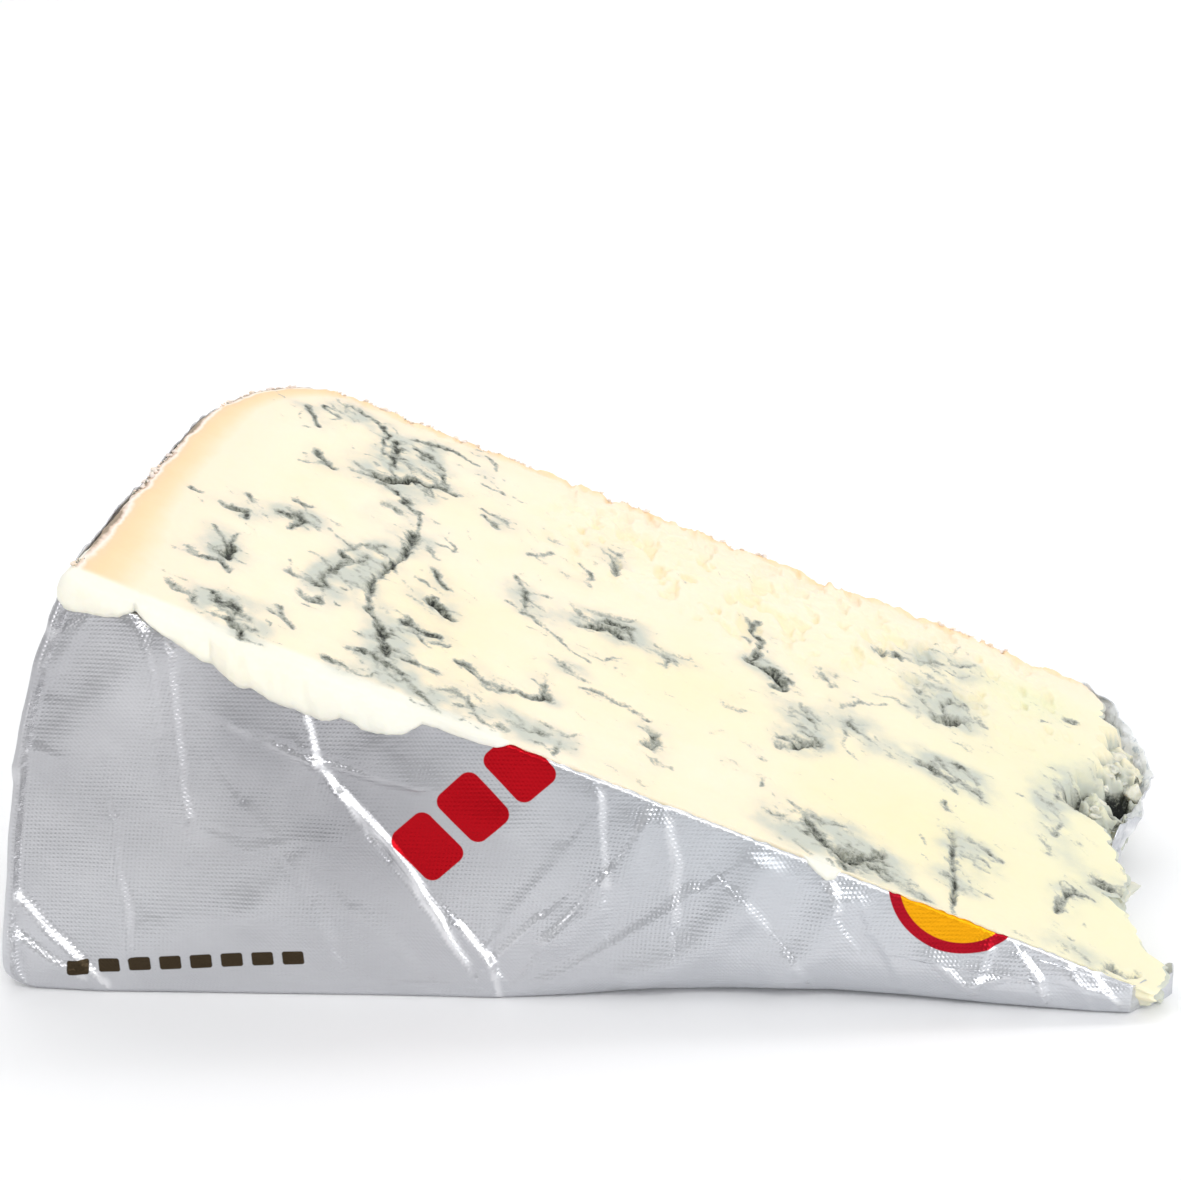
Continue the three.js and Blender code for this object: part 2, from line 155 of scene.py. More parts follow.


# %% [markdown]
# ## Where the mould grows
#
# Blue mould needs air. It lives in the clefts left between the curds and in the straight channels made
# by piercing needles, and it stains the paste around them. Two ways to show it come to mind: a
# procedural texture, which puts it anywhere, or a listed map. A map is better here, because the
# clusters, the empty band at the rind and the two needle channels are what make this piece this piece.
#
# Each row is one streak: its darkness, its half width and its depth in millimetres, then points (x, y)
# on the cut face. The rows go from the rind to the tip.

# %% Streaks of mould
STREAKS = """
0.80 0.6 0.5 -122.6,70.0 -121.2,68.0 -120.0,65.0
0.45 0.5 0.2 -119.5,76.0 -117.3,75.2 -117.0,73.2
0.50 0.5 0.3 -116.5,75.8 -112.5,74.2 -110.4,71.5 -110.6,68.0 -110.0,64.0
0.45 0.5 0.2 -120.0,72.2 -117.4,70.6 -118.2,69.0
0.75 0.9 0.6 -109.0,70.2 -108.4,67.0 -108.6,64.0 -107.4,61.0
0.60 0.6 0.4 -106.2,69.6 -104.2,70.2 -103.0,68.2 -101.2,66.4 -100.6,62.0
0.55 0.5 0.3 -107.2,72.2 -104.2,73.2 -101.0,74.0 -97.0,72.4
0.45 0.5 0.2 -96.2,76.4 -94.2,75.2 -94.0,73.0
0.50 0.5 0.3 -95.2,66.6 -92.0,66.4
1.00 1.0 3.4 -109.4,56.6 -107.6,56.2 -106.4,57.6 -105.4,59.4
0.80 0.6 1.0 -105.4,59.6 -102.4,59.4 -101.0,60.6 -98.4,60.0
0.55 0.6 0.3 -113.2,58.2 -110.6,57.0
0.45 0.6 0.2 -112.6,55.4 -110.0,55.8
0.70 0.8 0.6 -107.2,54.4 -105.6,53.2 -104.4,52.4
0.75 0.8 0.6 -118.6,57.0 -117.2,55.0 -115.6,53.6
0.35 0.6 0.2 -120.0,52.6 -118.0,53.6
0.50 0.6 0.3 -94.2,59.0 -92.2,58.4 -90.4,57.6
0.65 0.6 0.3 -93.6,57.2 -91.4,55.0
0.60 0.8 0.5 -107.2,49.0 -105.0,48.2
0.60 0.7 0.5 -105.6,52.0 -104.0,50.6 -102.8,50.2 -101.9,47.2 -102.2,44.0
0.68 0.9 1.3 -102.2,44.0 -102.2,40.0 -103.0,36.0 -104.2,32.0
0.55 0.8 1.0 -104.2,32.0 -105.0,28.0 -105.0,23.0 -104.4,19.0
0.60 0.8 0.8 -104.4,19.0 -102.6,16.4 -101.4,13.2 -100.6,9.6
0.95 0.9 1.4 -102.2,15.8 -101.4,14.2
0.90 0.8 1.1 -101.4,11.2 -100.6,10.2
0.50 0.6 0.3 -100.4,10.2 -97.2,10.8 -94.2,10.0
0.45 0.6 0.2 -110.8,31.0 -108.4,35.0 -105.2,37.2
0.40 0.6 0.2 -109.8,26.6 -107.6,31.2
0.50 0.6 0.2 -111.2,21.0 -110.2,26.0 -109.4,29.2
0.60 0.8 0.3 -115.4,20.6 -112.0,20.0 -109.8,20.8
0.60 0.8 0.4 -111.6,23.2 -110.2,21.2
0.45 0.5 0.2 -97.6,46.6 -96.2,44.2 -96.6,42.4
0.35 0.5 0.2 -99.2,43.4 -96.2,43.0
0.35 0.6 0.2 -99.6,41.0 -98.2,39.0
0.60 0.7 0.4 -97.6,35.2 -96.6,33.2 -95.4,32.0
1.00 1.1 2.2 -97.0,27.6 -95.8,26.4 -94.6,24.8
0.50 0.6 0.3 -97.8,27.8 -95.4,27.8
0.75 0.8 0.6 -100.2,19.6 -98.0,19.0 -95.2,19.2
0.45 0.6 0.2 -96.4,17.2 -93.8,17.8
0.65 0.6 0.4 -131.4,33.4 -130.4,33.0
0.80 0.7 0.6 -127.4,32.4 -125.2,31.6 -123.6,32.4 -123.2,30.8
0.50 0.6 0.2 -124.4,37.2 -123.4,35.4
0.65 0.7 0.4 -118.8,40.4 -116.0,40.8
0.60 0.7 0.3 -119.6,36.2 -118.0,35.4
0.65 0.8 0.4 -117.4,38.4 -116.6,34.2 -117.6,32.2
0.45 0.6 0.2 -115.4,36.2 -114.0,34.4
0.50 0.5 0.2 -126.6,25.2 -124.6,22.4 -123.4,20.0
1.00 1.0 2.0 -123.4,20.6 -123.3,18.4
0.55 0.6 0.4 -123.4,25.0 -123.4,20.6
0.50 0.8 0.3 -128.2,17.4 -126.2,15.8 -124.2,17.0 -122.4,15.4
0.35 0.5 0.2 -114.2,28.4 -112.4,27.6
0.60 0.8 0.3 -113.2,17.2 -111.6,15.4 -110.4,17.0
0.60 0.7 0.3 -114.6,11.2 -114.0,9.4 -112.4,7.4
0.50 0.7 0.3 -128.2,8.0 -127.4,6.4 -125.0,6.4 -124.2,4.6
0.50 0.9 0.3 -122.8,9.0 -121.0,7.0 -119.4,7.6 -119.8,3.6
0.45 0.8 0.3 -120.4,8.6 -118.0,5.4
0.95 0.9 1.6 -118.2,3.0 -117.2,0.8
0.45 0.7 0.3 -121.4,4.0 -119.0,3.4
0.65 0.8 0.4 -107.6,3.6 -105.8,3.4
0.45 0.8 0.3 -105.2,7.4 -102.2,8.2 -100.2,6.4
0.50 0.8 0.3 -101.0,8.0 -98.0,6.4
0.50 0.8 0.3 -97.2,5.6 -94.6,3.0 -93.0,1.4
0.40 0.8 0.3 -92.2,8.0 -91.0,6.4
0.50 0.8 0.3 -90.8,4.0 -88.6,4.6 -87.0,2.4
0.40 0.7 0.2 -90.0,7.2 -89.0,5.4
0.55 0.8 0.3 -84.2,5.2 -81.0,4.0 -79.0,5.6
0.50 0.7 0.3 -80.2,8.0 -76.6,7.0 -75.2,8.2
0.50 0.7 0.3 -77.6,4.6 -77.6,1.2
0.40 0.7 0.2 -86.2,1.8 -84.0,3.0
0.65 0.8 0.4 -92.2,14.8 -90.4,15.0 -88.6,13.0 -86.0,12.2 -84.0,13.4 -82.0,12.8 -80.6,14.2
0.95 0.9 1.4 -80.6,14.2 -80.9,16.4
0.45 0.4 0.2 -81.2,20.4 -80.9,16.8
0.40 0.5 0.2 -88.6,11.6 -86.0,11.4
0.60 0.6 0.4 -87.0,42.6 -85.6,39.6 -85.2,37.0 -85.4,33.4
0.45 0.5 0.2 -88.0,35.4 -85.4,34.0 -83.0,32.4 -80.0,30.0 -77.6,28.0 -75.8,27.4
0.40 0.5 0.2 -86.4,39.8 -82.2,41.0
0.45 0.5 0.2 -85.6,38.2 -82.4,36.4
0.60 0.6 0.3 -86.8,51.0 -84.6,52.0 -83.4,54.2
0.60 0.7 0.3 -84.0,59.0 -82.4,58.0
0.30 0.4 0.1 -82.8,60.6 -80.6,61.2 -77.0,61.0
0.70 0.7 0.4 -76.8,60.6 -75.2,59.6 -74.6,57.6 -73.8,55.4
0.55 0.6 0.3 -75.8,62.4 -73.8,61.6
0.40 0.5 0.2 -73.4,63.0 -74.4,60.4
0.70 0.7 0.4 -79.2,54.6 -77.8,52.2 -77.4,50.8
0.55 0.6 0.3 -77.6,50.0 -76.8,48.4
0.95 1.0 1.2 -78.0,36.6 -75.6,37.6 -73.6,38.6 -71.6,37.6
0.55 0.7 0.4 -76.2,41.2 -73.6,42.2 -71.0,43.6
0.75 0.8 0.6 -75.2,39.6 -72.2,40.6 -70.4,41.2
0.50 0.6 0.3 -79.2,41.0 -77.0,38.4
0.60 0.6 0.4 -71.2,39.2 -70.0,37.0
0.50 0.6 0.3 -67.2,39.0 -65.6,38.0 -62.0,38.6
0.65 0.7 0.4 -66.6,37.2 -65.6,35.4 -65.8,34.2
0.40 0.5 0.2 -66.0,36.6 -64.0,35.0
0.50 0.9 0.2 -57.6,30.0 -54.6,30.4
0.45 0.5 0.2 -76.6,29.8 -74.4,29.6 -73.0,31.0 -71.4,31.8
0.50 0.6 0.3 -80.8,25.6 -79.0,24.0 -77.0,23.4
0.40 0.5 0.2 -78.6,22.6 -76.4,22.4
0.60 0.7 0.4 -76.2,20.0 -73.6,20.8 -72.0,20.0 -70.0,20.0 -67.0,18.4
0.95 1.1 1.6 -66.2,16.0 -66.0,14.0 -66.6,12.4
0.40 0.6 0.2 -66.6,9.6 -65.0,8.2 -63.4,9.0
0.35 0.5 0.2 -58.6,21.0 -57.4,23.0
0.45 0.5 0.2 -56.2,17.0 -55.0,16.4
0.55 0.6 0.3 -51.2,15.6 -51.8,13.2
0.30 0.5 0.1 -54.6,22.6 -52.0,21.0 -51.4,20.0
0.35 0.5 0.2 -67.2,3.2 -66.0,2.0
0.90 0.7 0.9 -53.2,57.6 -53.8,55.0 -52.8,52.4 -52.6,50.0 -53.0,47.0 -54.0,44.4
0.95 0.9 1.4 -54.4,44.2 -52.4,44.0 -50.6,43.4 -49.0,41.6 -49.5,40.2
0.90 1.2 2.2 -51.0,43.4 -49.6,42.4
0.75 0.7 0.6 -49.8,44.2 -48.0,43.2
0.75 0.9 0.7 -43.2,48.2 -42.0,46.8
0.50 0.6 0.3 -43.2,50.2 -42.0,49.4
0.45 0.6 0.2 -44.2,50.6 -43.6,48.4
0.55 0.6 0.3 -41.0,42.0 -39.0,44.0 -36.6,46.0 -34.0,47.2
0.50 0.6 0.2 -35.6,49.4 -33.0,50.2 -31.4,49.2
0.45 0.6 0.2 -40.0,40.4 -39.6,38.0 -40.6,34.0 -41.0,31.0 -39.0,29.0
0.50 0.5 0.2 -39.6,38.0 -36.6,36.0 -34.0,34.2
0.40 0.5 0.2 -41.0,37.6 -37.4,39.4
0.55 0.8 0.4 -46.6,38.2 -45.2,35.0 -44.4,33.4
0.45 0.6 0.2 -48.0,36.0 -46.6,32.4
1.00 1.4 2.6 -46.6,27.6 -45.4,28.8 -44.4,30.2
0.80 0.8 1.0 -49.6,25.0 -47.6,26.4 -46.2,27.4
0.55 0.6 0.3 -49.6,27.2 -47.4,28.4 -45.6,29.2
0.85 0.8 0.8 -35.2,63.6 -33.0,63.2 -32.0,64.6 -31.6,62.8
0.40 0.5 0.2 -36.8,65.2 -34.4,64.2
0.50 0.5 0.3 -30.6,66.0 -26.0,66.2 -22.4,67.6 -20.2,69.2
0.50 0.5 0.3 -28.0,64.4 -24.0,64.0 -21.4,66.0
0.40 0.5 0.2 -26.4,72.4 -24.2,71.2 -22.0,74.6
0.40 0.5 0.2 -27.6,70.0 -24.6,69.0
1.00 1.5 4.8 -27.0,49.0 -25.0,49.4 -23.6,51.0
0.65 0.6 0.8 -25.2,51.6 -25.6,54.0 -24.4,56.0
0.55 0.6 0.4 -29.8,53.6 -27.6,51.2 -27.0,49.0
0.45 0.6 0.2 -29.4,55.2 -28.0,58.0 -26.0,58.6 -23.0,58.0 -21.8,55.0
0.45 0.6 0.2 -30.0,50.2 -30.0,46.4
0.75 0.7 0.8 -23.4,51.2 -21.8,49.4
0.35 0.5 0.2 -28.6,61.2 -25.4,60.0
0.65 0.7 0.4 -20.6,53.4 -19.4,52.0
0.45 0.5 0.2 -25.2,44.2 -22.4,42.8
0.95 1.1 1.4 -29.8,34.8 -28.8,34.4
0.60 0.7 0.4 -29.4,35.0 -28.0,36.6 -25.6,38.2 -23.6,38.0 -22.2,35.6 -21.0,32.8
0.70 0.8 0.6 -28.6,34.4 -26.6,33.4 -24.0,33.0 -21.4,32.0
0.65 0.7 0.4 -26.6,36.2 -25.0,34.4
0.75 0.6 0.5 -26.6,25.4 -26.2,26.8
0.80 0.6 1.2 -26.5,20.2 -26.6,16.0
0.85 0.6 1.2 -26.6,16.0 -26.7,8.0
0.85 0.6 1.4 -26.7,8.0 -26.9,0.0
0.65 0.6 0.4 -24.4,19.6 -22.0,18.8 -19.4,17.4
0.50 0.7 0.3 -25.0,15.4 -22.4,16.0 -21.0,14.8
0.45 0.6 0.2 -23.0,13.4 -21.4,13.2
0.55 0.6 0.3 -24.6,8.2 -21.4,7.4
0.60 1.0 0.4 -50.2,7.4 -48.4,8.0
0.60 0.8 0.4 -47.6,12.0 -46.0,11.0 -45.4,9.0
0.80 0.9 0.8 -45.2,8.6 -44.0,6.0 -43.4,4.8
0.50 0.7 0.3 -43.6,10.0 -41.0,10.8
1.00 1.4 3.0 -42.2,5.0 -40.6,3.2 -39.2,4.4
0.85 1.0 1.4 -39.2,4.4 -36.6,6.4 -35.4,8.0
0.85 0.8 1.0 -41.0,2.2 -40.0,0.6
0.55 0.8 0.4 -36.2,4.0 -33.0,2.2 -30.4,1.2
0.45 0.7 0.3 -47.2,3.2 -45.0,1.6
0.65 1.0 0.6 -37.2,3.4 -35.4,2.2
0.85 0.55 0.8 -12.2,12.6 -11.0,15.0 -9.6,16.4 -8.2,16.0
0.75 0.55 0.8 -11.6,17.6 -10.8,15.0
0.80 0.6 0.8 -12.8,10.4 -12.2,12.6
0.50 0.7 0.3 -13.2,27.4 -12.0,25.0 -12.6,23.4
0.45 0.6 0.2 -11.0,37.0 -10.6,33.0 -11.4,29.4
0.35 0.5 0.2 -13.2,31.2 -11.4,29.0
0.45 0.7 0.2 -9.8,43.4 -10.6,38.0
1.00 1.2 2.6 -5.6,20.6 -3.4,21.2 -2.0,20.0
0.70 0.8 0.8 -6.4,22.4 -4.4,21.4
0.85 1.0 2.4 -8.6,41.6 -7.2,44.6 -5.6,47.6 -4.8,49.2
0.70 0.9 0.6 -6.2,64.2 -4.8,64.4
0.50 0.6 0.2 -10.4,60.4 -9.2,60.8
0.45 0.7 0.3 -19.0,1.8 -16.6,1.2
0.30 0.7 0.2 -13.0,3.4 -10.6,2.6 -9.2,1.2
0.70 1.2 2.0 -6.2,2.2 -4.6,1.2 -2.8,3.2
"""


def read_paths(table):
    """Rows of a table of paths: three numbers and an array of points."""
    rows = []
    for line in table.strip().splitlines():
        first, second, third, *pairs = line.split()
        points = np.array([[float(value) for value in pair.split(",")] for pair in pairs])
        rows.append((float(first), float(second), float(third), points))
    return rows


streaks = read_paths(STREAKS)
for row in streaks:
    row[3][:, 1] -= FOIL_OUTSIDE  # the rows were measured from the foil's printed side
print(len(streaks), "streaks of mould")

# %% [markdown]
# The stain around the streaks is softer and has no outline of its own. Each row is one cloud of it:
# centre, half length, half width, turn in degrees, and strength.

# %% Clouds of stain
CLOUDS = [
    (-105.5, 62.5, 8.5, 6.0, 80, 0.75),
    (-113.5, 73.0, 6.0, 3.0, -30, 0.35),
    (-117.5, 73.0, 3.0, 2.2, 0, 0.40),
    (-108.0, 29.0, 9.5, 3.6, 78, 0.75),
    (-101.5, 13.0, 6.5, 3.0, 80, 0.60),
    (-111.5, 20.5, 4.0, 2.0, 0, 0.45),
    (-120.0, 6.0, 5.0, 4.0, 0, 0.60),
    (-117.0, 36.0, 4.5, 3.0, 60, 0.35),
    (-124.5, 19.0, 5.0, 3.0, 30, 0.35),
    (-88.0, 4.6, 15.0, 3.6, 0, 0.50),
    (-83.5, 36.5, 6.0, 3.5, -40, 0.35),
    (-74.5, 39.0, 5.5, 3.6, 20, 0.80),
    (-65.5, 36.5, 3.6, 2.8, 0, 0.40),
    (-78.5, 24.0, 3.5, 2.0, 0, 0.30),
    (-51.5, 43.0, 3.0, 2.4, 0, 0.45),
    (-46.0, 33.0, 4.0, 5.0, 20, 0.55),
    (-38.5, 37.0, 6.0, 6.0, 0, 0.35),
    (-26.5, 54.0, 5.0, 6.5, 0, 0.55),
    (-25.0, 66.0, 7.0, 5.0, 20, 0.45),
    (-25.5, 35.2, 5.5, 3.6, -15, 0.85),
    (-23.5, 16.0, 3.6, 4.0, 0, 0.45),
    (-42.5, 6.0, 9.0, 5.0, 0, 0.95),
    (-34.0, 2.6, 6.0, 2.4, -15, 0.60),
    (-11.0, 33.0, 3.0, 13.0, 8, 0.40),
    (-5.0, 45.0, 4.5, 7.5, -20, 0.80),
    (-11.5, 2.6, 5.0, 2.0, -15, 0.50),
    (-4.0, 21.5, 3.0, 2.4, 0, 0.55),
    (-108.5, 45.0, 3.0, 4.0, 0, 0.15),
]

# %% [markdown]
# ### Drawing the map
#
# The streaks are drawn on a canvas over the cut face: for each stretch of a streak, the distance to its
# line says how much mould there is. Before measuring, the canvas is bent with fine noise, so a line
# comes out as a torn, branching cleft. The half width also wanders, which breaks long streaks into
# dashes and blots.

# %% Canvas over the cut face
CANVAS_STEP = 0.16
CANVAS_X, CANVAS_Y = (-153, 8), (-3, 83)
canvas_x, canvas_y = np.meshgrid(np.arange(*CANVAS_X, CANVAS_STEP), np.arange(*CANVAS_Y, CANVAS_STEP))


def bent(straight, seed):
    """A coordinate of the canvas, bent by coarse and by fine noise."""
    coarse = 0.9 * (noise(canvas_x, canvas_y, 3.2, seed) - 0.5)
    return straight + coarse + 0.45 * (noise(canvas_x, canvas_y, 0.9, seed + 1) - 0.5)


bent_x, bent_y = bent(canvas_x, 1), bent(canvas_y, 3)
wander = 0.25 + 0.95 * rough_noise(canvas_x, canvas_y, 1.5, 5, 2)  # widens and narrows the streaks
fade = 0.40 + 0.95 * rough_noise(canvas_x, canvas_y, 1.0, 6, 2)  # darkens and fades them
torn_line = step_between(0.35, 0.65, noise(canvas_x, canvas_y, 0.9, 7))  # breaks up their dark cores

mould = np.zeros_like(canvas_x)  # dark streaks, 0 to 1
stain = np.zeros_like(canvas_x)  # grey-green clouds, 0 to 1
hollow = np.zeros_like(canvas_x)  # depth of the clefts, mm


def window(points, reach):
    """The part of the canvas within reach of some points."""
    (x0, y0), (x1, y1) = points.min(axis=0) - reach, points.max(axis=0) + reach
    first_column, last_column = (int((x - CANVAS_X[0]) / CANVAS_STEP) for x in (x0, x1))
    first_row, last_row = (int((y - CANVAS_Y[0]) / CANVAS_STEP) for y in (y0, y1))
    rows = slice(max(0, first_row), max(0, last_row + 1))
    return rows, slice(max(0, first_column), max(0, last_column + 1))


def distance_to_path(x, y, points):
    """Distance from each place to a path of straight stretches."""
    nearest = np.full_like(x, 1e9)
    for (ax, ay), (bx, by) in zip(points[:-1], points[1:]):
        dx, dy = bx - ax, by - ay
        share = np.clip(((x - ax) * dx + (y - ay) * dy) / (dx * dx + dy * dy + 1e-9), 0, 1)
        nearest = np.minimum(nearest, np.hypot(x - ax - share * dx, y - ay - share * dy))
    return nearest


# %% [markdown]
# Seen close by, a streak is a soft grey-green band with a thin dark core that comes and goes. Its cleft
# is steep at the sides, and a faint stain lies around it. New mould is laid over old the way glazes are:
# what is left of the clean paste is multiplied, so crossing streaks get darker but never pass 1.


# %% Draw a streak
def draw_streak(darkness, half_width, depth, points, reach=4):
    """Put one streak on the canvas: its dark line, its cleft and the stain beside it."""
    view = window(points, reach)
    away = distance_to_path(bent_x[view], bent_y[view], points)
    darkness *= 1.12 - 0.42 * step_between(-100, -80, points[0, 0])  # milder beyond the first third
    width = half_width * wander[view] + 0.08
    soft, core = (np.exp(-((away / (share * width)) ** 2)) for share in (1, 0.4))
    dark = darkness * (0.8 * fade[view] * soft + 0.55 * torn_line[view] * core)
    mould[view] = 1 - (1 - mould[view]) * (1 - np.clip(dark, 0, 1))
    hollow[view] = np.maximum(hollow[view], depth * step_between(1.05 * width + 0.1, 0.1 * width, away))
    halo = 0.55 * darkness * np.exp(-((away / (1.1 + 1.7 * half_width)) ** 2))
    stain[view] = 1 - (1 - stain[view]) * (1 - 0.5 * halo)


for darkness, half_width, depth, points in streaks:
    draw_streak(darkness, half_width, depth, points)
print("mould covers", round(100 * float((mould > 0.4).mean()), 1), "% of the canvas")

# %% [markdown]
# Around every streak, and all through the clouds, lie short flecks. They lean the same way, because the
# curds were pressed flat before the mould grew between them. Their places come from a seeded generator.

# %% Flecks
FLECK_LEAN = -30  # degrees
dice = np.random.default_rng(2024)


def scatter_flecks(places, darkness):
    """Short leaning strokes at the given places."""
    for centre in places:
        lean = math.radians(dice.normal(FLECK_LEAN, 24))
        half = 0.3 + 1.5 * dice.random() ** 2
        bow = dice.normal(0, 0.25)
        along = np.array([math.cos(lean), math.sin(lean)])
        across = np.array([-along[1], along[0]])
        points = np.array([centre - half * along, centre + bow * across, centre + half * along])
        share, half_width, depth = dice.uniform(0.3, 1.0), dice.uniform(0.12, 0.5), dice.uniform(0, 0.2)
        draw_streak(darkness * share, half_width, depth, points, reach=2.5)


# %% Flecks along the streaks
for darkness, half_width, depth, points in streaks:
    steps = np.linalg.norm(np.diff(points, axis=0), axis=1)
    count = int(0.8 * steps.sum() * (0.4 + darkness)) + 1
    piece = dice.choice(len(steps), size=count, p=steps / steps.sum())
    share = dice.random((count, 1))
    centres = points[piece] * (1 - share) + points[piece + 1] * share + dice.normal(0, 1.5, (count, 2))
    scatter_flecks(centres, 0.55 * darkness)
print("flecks drawn along", len(streaks), "streaks")

# %% [markdown]
# A cloud of stain is an oval that fades at its outline. Flecks are strewn in it too, thickest in the
# middle. After them come stray flecks over the whole face, in drifts, as mould is never quite absent.

# %% Clouds with their flecks
for centre_x, centre_y, long, wide, turned, strength in CLOUDS:
    angle = math.radians(turned)
    centre_y -= FOIL_OUTSIDE
    view = window(np.array([[centre_x, centre_y]]), 1.6 * max(long, wide))
    dx, dy = bent_x[view] - centre_x, bent_y[view] - centre_y
    along = (dx * math.cos(angle) + dy * math.sin(angle)) / long
    across = (dy * math.cos(angle) - dx * math.sin(angle)) / wide
    cloud = strength * np.exp(-((along**2 + across**2) ** 1.2))
    stain[view] = 1 - (1 - stain[view]) * (1 - cloud)
    count = int(0.36 * math.pi * long * wide * strength)
    spread = dice.normal(0, 0.55, (count, 2)) * (long, wide)
    turn_back = np.array([[math.cos(angle), math.sin(angle)], [-math.sin(angle), math.cos(angle)]])
    scatter_flecks(spread @ turn_back + (centre_x, centre_y), 0.5)
print(len(CLOUDS), "clouds of stain")

# %% Stray flecks
STRAY_FLECKS = 520
stray = dice.uniform((-128, 1), (2, 70), (STRAY_FLECKS, 2))
in_a_drift = rough_noise(stray[:, 0], stray[:, 1], 15, 15) > 0.45
scatter_flecks(stray[in_a_drift], 0.34)
print(int(in_a_drift.sum()), "stray flecks")

# %% [markdown]
# The stain itself is mottled, and carries specks that are too small to draw one by one. They are noise
# that is cut off at a level, and kept only where there is stain.

# %% Specks in the stain
lean = math.radians(FLECK_LEAN)
speck_x = bent_x * math.cos(lean) + bent_y * math.sin(lean)
speck_y = bent_y * math.cos(lean) - bent_x * math.sin(lean)
specks = noise(speck_x / 2.0, speck_y, 0.9, 11) * 0.6 + noise(speck_x / 1.5, speck_y, 0.5, 12) * 0.4
level = 0.80 - 0.30 * np.clip(stain, 0, 1)  # more specks pass it where there is more stain
specks = step_between(0.0, 0.22, specks - level) * step_between(0.1, 0.5, stain)
mould = 1 - (1 - mould) * (1 - 0.42 * specks * noise(canvas_x, canvas_y, 4, 13))
mottle = 0.55 + 1.1 * (rough_noise(canvas_x, canvas_y, 3.0, 14) - 0.5)
stain = np.clip(stain * mottle * 1.5, 0, 1)
print("stain covers", round(100 * float((stain > 0.3).mean()), 1), "% of the canvas")

# %% [markdown]
# The canvas is a grid of its own. Every mesh that needs the map asks for its value at a place.


# %% Read the map
def pick(canvas, x, y):
    """Read a canvas at any place, blended between its cells."""
    column = np.clip((np.asarray(x) - CANVAS_X[0]) / CANVAS_STEP, 0, canvas.shape[1] - 1.001)
    row = np.clip((np.asarray(y) - CANVAS_Y[0]) / CANVAS_STEP, 0, canvas.shape[0] - 1.001)
    c, r = column.astype(int), row.astype(int)
    fc, fr = column - c, row - r
    lower = canvas[r, c] * (1 - fc) + canvas[r, c + 1] * fc
    upper = canvas[r + 1, c] * (1 - fc) + canvas[r + 1, c + 1] * fc
    return lower * (1 - fr) + upper * fr


# %% [markdown]
# ## The shape that paste and foil share
#
# Both follow the wheel's outline: a printed flat side, the rind side, and a long soft rounding to the
# natural flat side. A place on the wedge is given by its share from rind to tip, its row across the
# depth and its share of the height. The same function serves both, with a larger `grow` for the foil.


# %% Outline of the wheel
def depth_rows(spacing, grow):
    """Rows across the wheel's depth: their y and the rind's radius there."""
    outer, far_y = WHEEL_RADIUS + grow, SLICE_DEPTH + grow
    near, far_depth, far_inset = NEAR_ROUNDING + 0.6 * grow, RIM_DEPTH + grow, RIM_INSET + grow
    near_turn = np.linspace(0, math.pi / 2, 6)
    far_turn = np.linspace(0, math.pi / 2, int(1.35 * far_depth / spacing))
    start, end = near - grow, far_y - far_depth
    middle = np.linspace(start, end, int((end - start) / spacing))[1:-1]
    y = [-grow + near * (1 - np.cos(near_turn)), middle, far_y - far_depth * (1 - np.sin(far_turn))]
    radius = [
        outer - near * (1 - np.sin(near_turn)),
        np.full(len(middle), outer),
        outer - far_inset * (1 - np.cos(far_turn)),
    ]
    return np.concatenate(y), np.concatenate(radius)


def wedge_point(share, y, radius, height_share, tip, grow):
    """A place on the wedge, from the floor (height_share 0) to the cut plane (1)."""
    slope = height_share * CUT_SLOPE
    base = (1 - height_share) * -grow + height_share * cut_height(0, y)
    # The sloping line z = base - slope * x meets the rind, a circle about the axis, at x = -reach.
    under = (slope * base) ** 2 - (1 + slope**2) * (base**2 - radius**2)
    reach = (np.sqrt(under) - slope * base) / (1 + slope**2)
    height = np.maximum(0, base + slope * reach + grow)
    rounding = FOOT_ROUNDING + grow
    short = np.clip(rounding - height, 0, rounding)
    reach = reach - (rounding - np.sqrt(rounding**2 - short**2))
    x = -reach + share * (reach + tip)
    return x, base - slope * x


# %% [markdown]
# The wedge doesn't lie quite flat. Handling has rounded its lower edge on the printed side, most of all
# past the middle, and pushed it out a little near the rind.

# %% Lower edge of the printed side
FOOT_EDGE = np.array([  # x, rounding, push outwards
    (-151, 1.5, 1.0), (-139, 1.0, 1.3), (-120, 0.8, 0.6), (-100, 0.8, 0.0), (-86, 1.0, 0.0),
    (-76, 3.2, 0.0), (-66, 6.2, 0.0), (-56, 7.4, 0.0), (-42, 7.8, 0.0), (-32, 6.4, 0.0),
    (-21, 4.0, 0.0), (-8, 2.0, 0.0), (4, 1.6, 0.0),
])


def lower_edge_shift(x, height):
    """How far the printed side moves inwards (+y) at a height above the floor."""
    rounding, pushed = (np.interp(x, FOOT_EDGE[:, 0], FOOT_EDGE[:, i]) for i in (1, 2))
    short = np.clip(rounding - height, 0, rounding)
    return rounding - np.sqrt(rounding**2 - short**2) - pushed * np.exp(-((height - 1) / 9) ** 2)


# %% [markdown]
# ## The broken tip
#
# The thin tip doesn't cut cleanly, it crumbles. Its line is kept as a few points and roughened with
# noise. A notch bites in at a quarter of the depth.

# %% Line of the tip
TIP_LINE = np.array([  # y, x
    (-2, -3.2), (0, -1.6), (3, 0.6), (6.5, 1.4), (8, -1.4), (11.6, -2.5), (15.5, -3.2), (17.6, -6.4),
    (19, -3.6), (21.6, -2.0), (24, -1.6), (27, -2.4), (30.5, -3.2), (35, -3.4), (36.6, -4.4), (38, -3.6),
    (41, -1.6), (46, 0.6), (51, 2.4), (57, 3.8), (62, 3.6), (66, 1.6), (68, -0.6), (71, -0.4),
    (74, -0.6), (78, -3.2), (80, -4.0),
])


